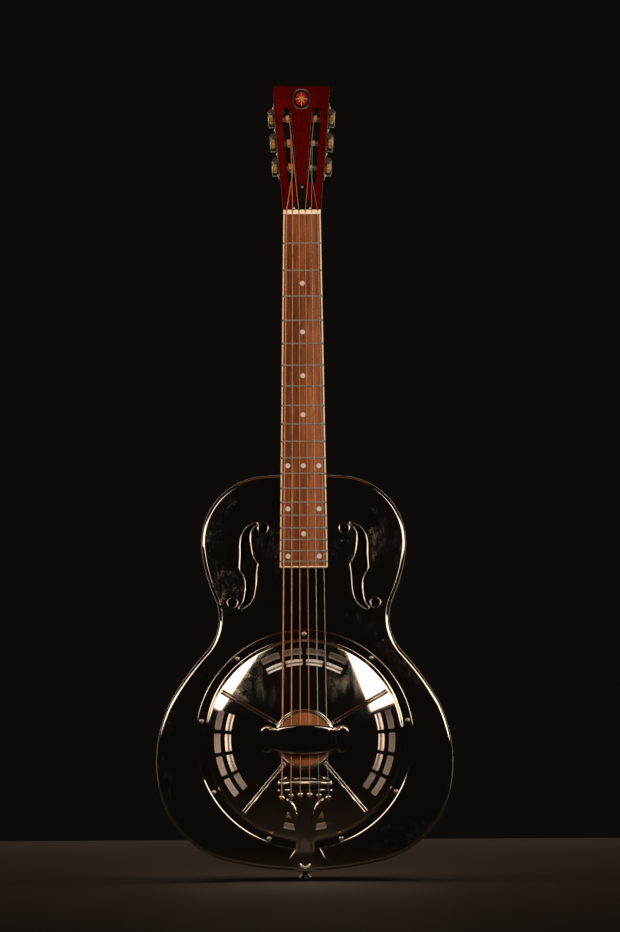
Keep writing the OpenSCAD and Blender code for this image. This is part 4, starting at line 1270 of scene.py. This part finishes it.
# panels that reach the cone through the slots, with only its own shadows
cone_lamps = [softbox(f"cone_{label}", (side * 1.25, -1.42, -0.1), (0.75, side * 0.66, 0), UP, (1.1, 1.2),
                      power, (1.0, 0.74, 0.58))
              for label, side, power in (("left", -1, 9.5), ("right", 1, 7.5))]
light_only(cone_lamps, named("spun_cone"), "INCLUDE")
light_only(cone_lamps, named("spun_cone"), "INCLUDE", shadows=True)
# one behind, for the back plate
behind = softbox("behind", (0, 2.0, 0.7), (-1, 0, 0), UP, (2.6, 1.6), 12)
behind.visible_camera = False
light_only([behind], [floor], "EXCLUDE")
# one over the small fittings, and a dim one for the upper edges
light_only([softbox("fittings_top", (0, -1.5, 1.25), SIDEWAYS, (0, 0.55, 0.83), (1.8, 0.45), 4.5)],
           named("spun_cone", "tailpiece_plate", "coverplate_screw_heads", "end_pin_button",
                 "truss_cover_screw_heads", "tuner_plate_screw_heads", "medallion_rim", "medallion_rosette"),
           "INCLUDE")
light_only([softbox("edges_top", (0, -0.9, 1.9), SIDEWAYS, (0, 0.9, 0.44), (1.6, 0.5), 0.45,
                    (1.0, 0.45, 0.25))],
           named("body_shell", "coverplate_dome", "palm_rest_cover"), "INCLUDE")
# a lamp for the wood, kept out of the mirror, and a faint one over the floor
key = bpy.data.lights.new("key", "SPOT")
key.energy, key.color, key.shadow_soft_size = 320, (1.0, 0.7, 0.5), 0.25
key.spot_size, key.spot_blend = radians(24), 0.8
key_ob = add("key", key)
key_ob.location = (0.7, -3.0, 1.5)
key_ob.rotation_euler = (Vector((0, 0, 0.62)) - key_ob.location).to_track_quat("-Z", "Y").to_euler()
key_ob.visible_glossy = False
light_only([key_ob], [floor], "EXCLUDE")
light_only([softbox("floor_wash", (0, 1.15, 0.85), SIDEWAYS, AHEAD, (1.5, 0.5), 0.8, (1.0, 0.66, 0.48))],
           [floor], "INCLUDE")

world = bpy.data.worlds.new("studio")
bpy.context.scene.world = world
world.use_nodes = True
sky = world.node_tree.nodes["Background"].inputs
sky["Color"].default_value, sky["Strength"].default_value = (0.0045, 0.0035, 0.003, 1), 1.0

cam = bpy.data.cameras.new("camera")
cam.lens, cam.sensor_width, cam.clip_end = 88.99, 36.0, 50
camera = add("camera", cam)
pitch, yaw, roll = radians(6.1917), radians(0.2152), radians(-0.3116)
ahead = Vector((sin(yaw) * cos(pitch), cos(yaw) * cos(pitch), sin(pitch)))
right = Vector((cos(yaw), -sin(yaw), 0))
up = right.cross(ahead)
place_axes(camera, right * cos(roll) + up * sin(roll), -right * sin(roll) + up * cos(roll),
           -ahead, (-0.00233, -2.85035, 0.18522))
bpy.context.scene.camera = camera
bpy.context.scene.view_settings.view_transform = "Standard"
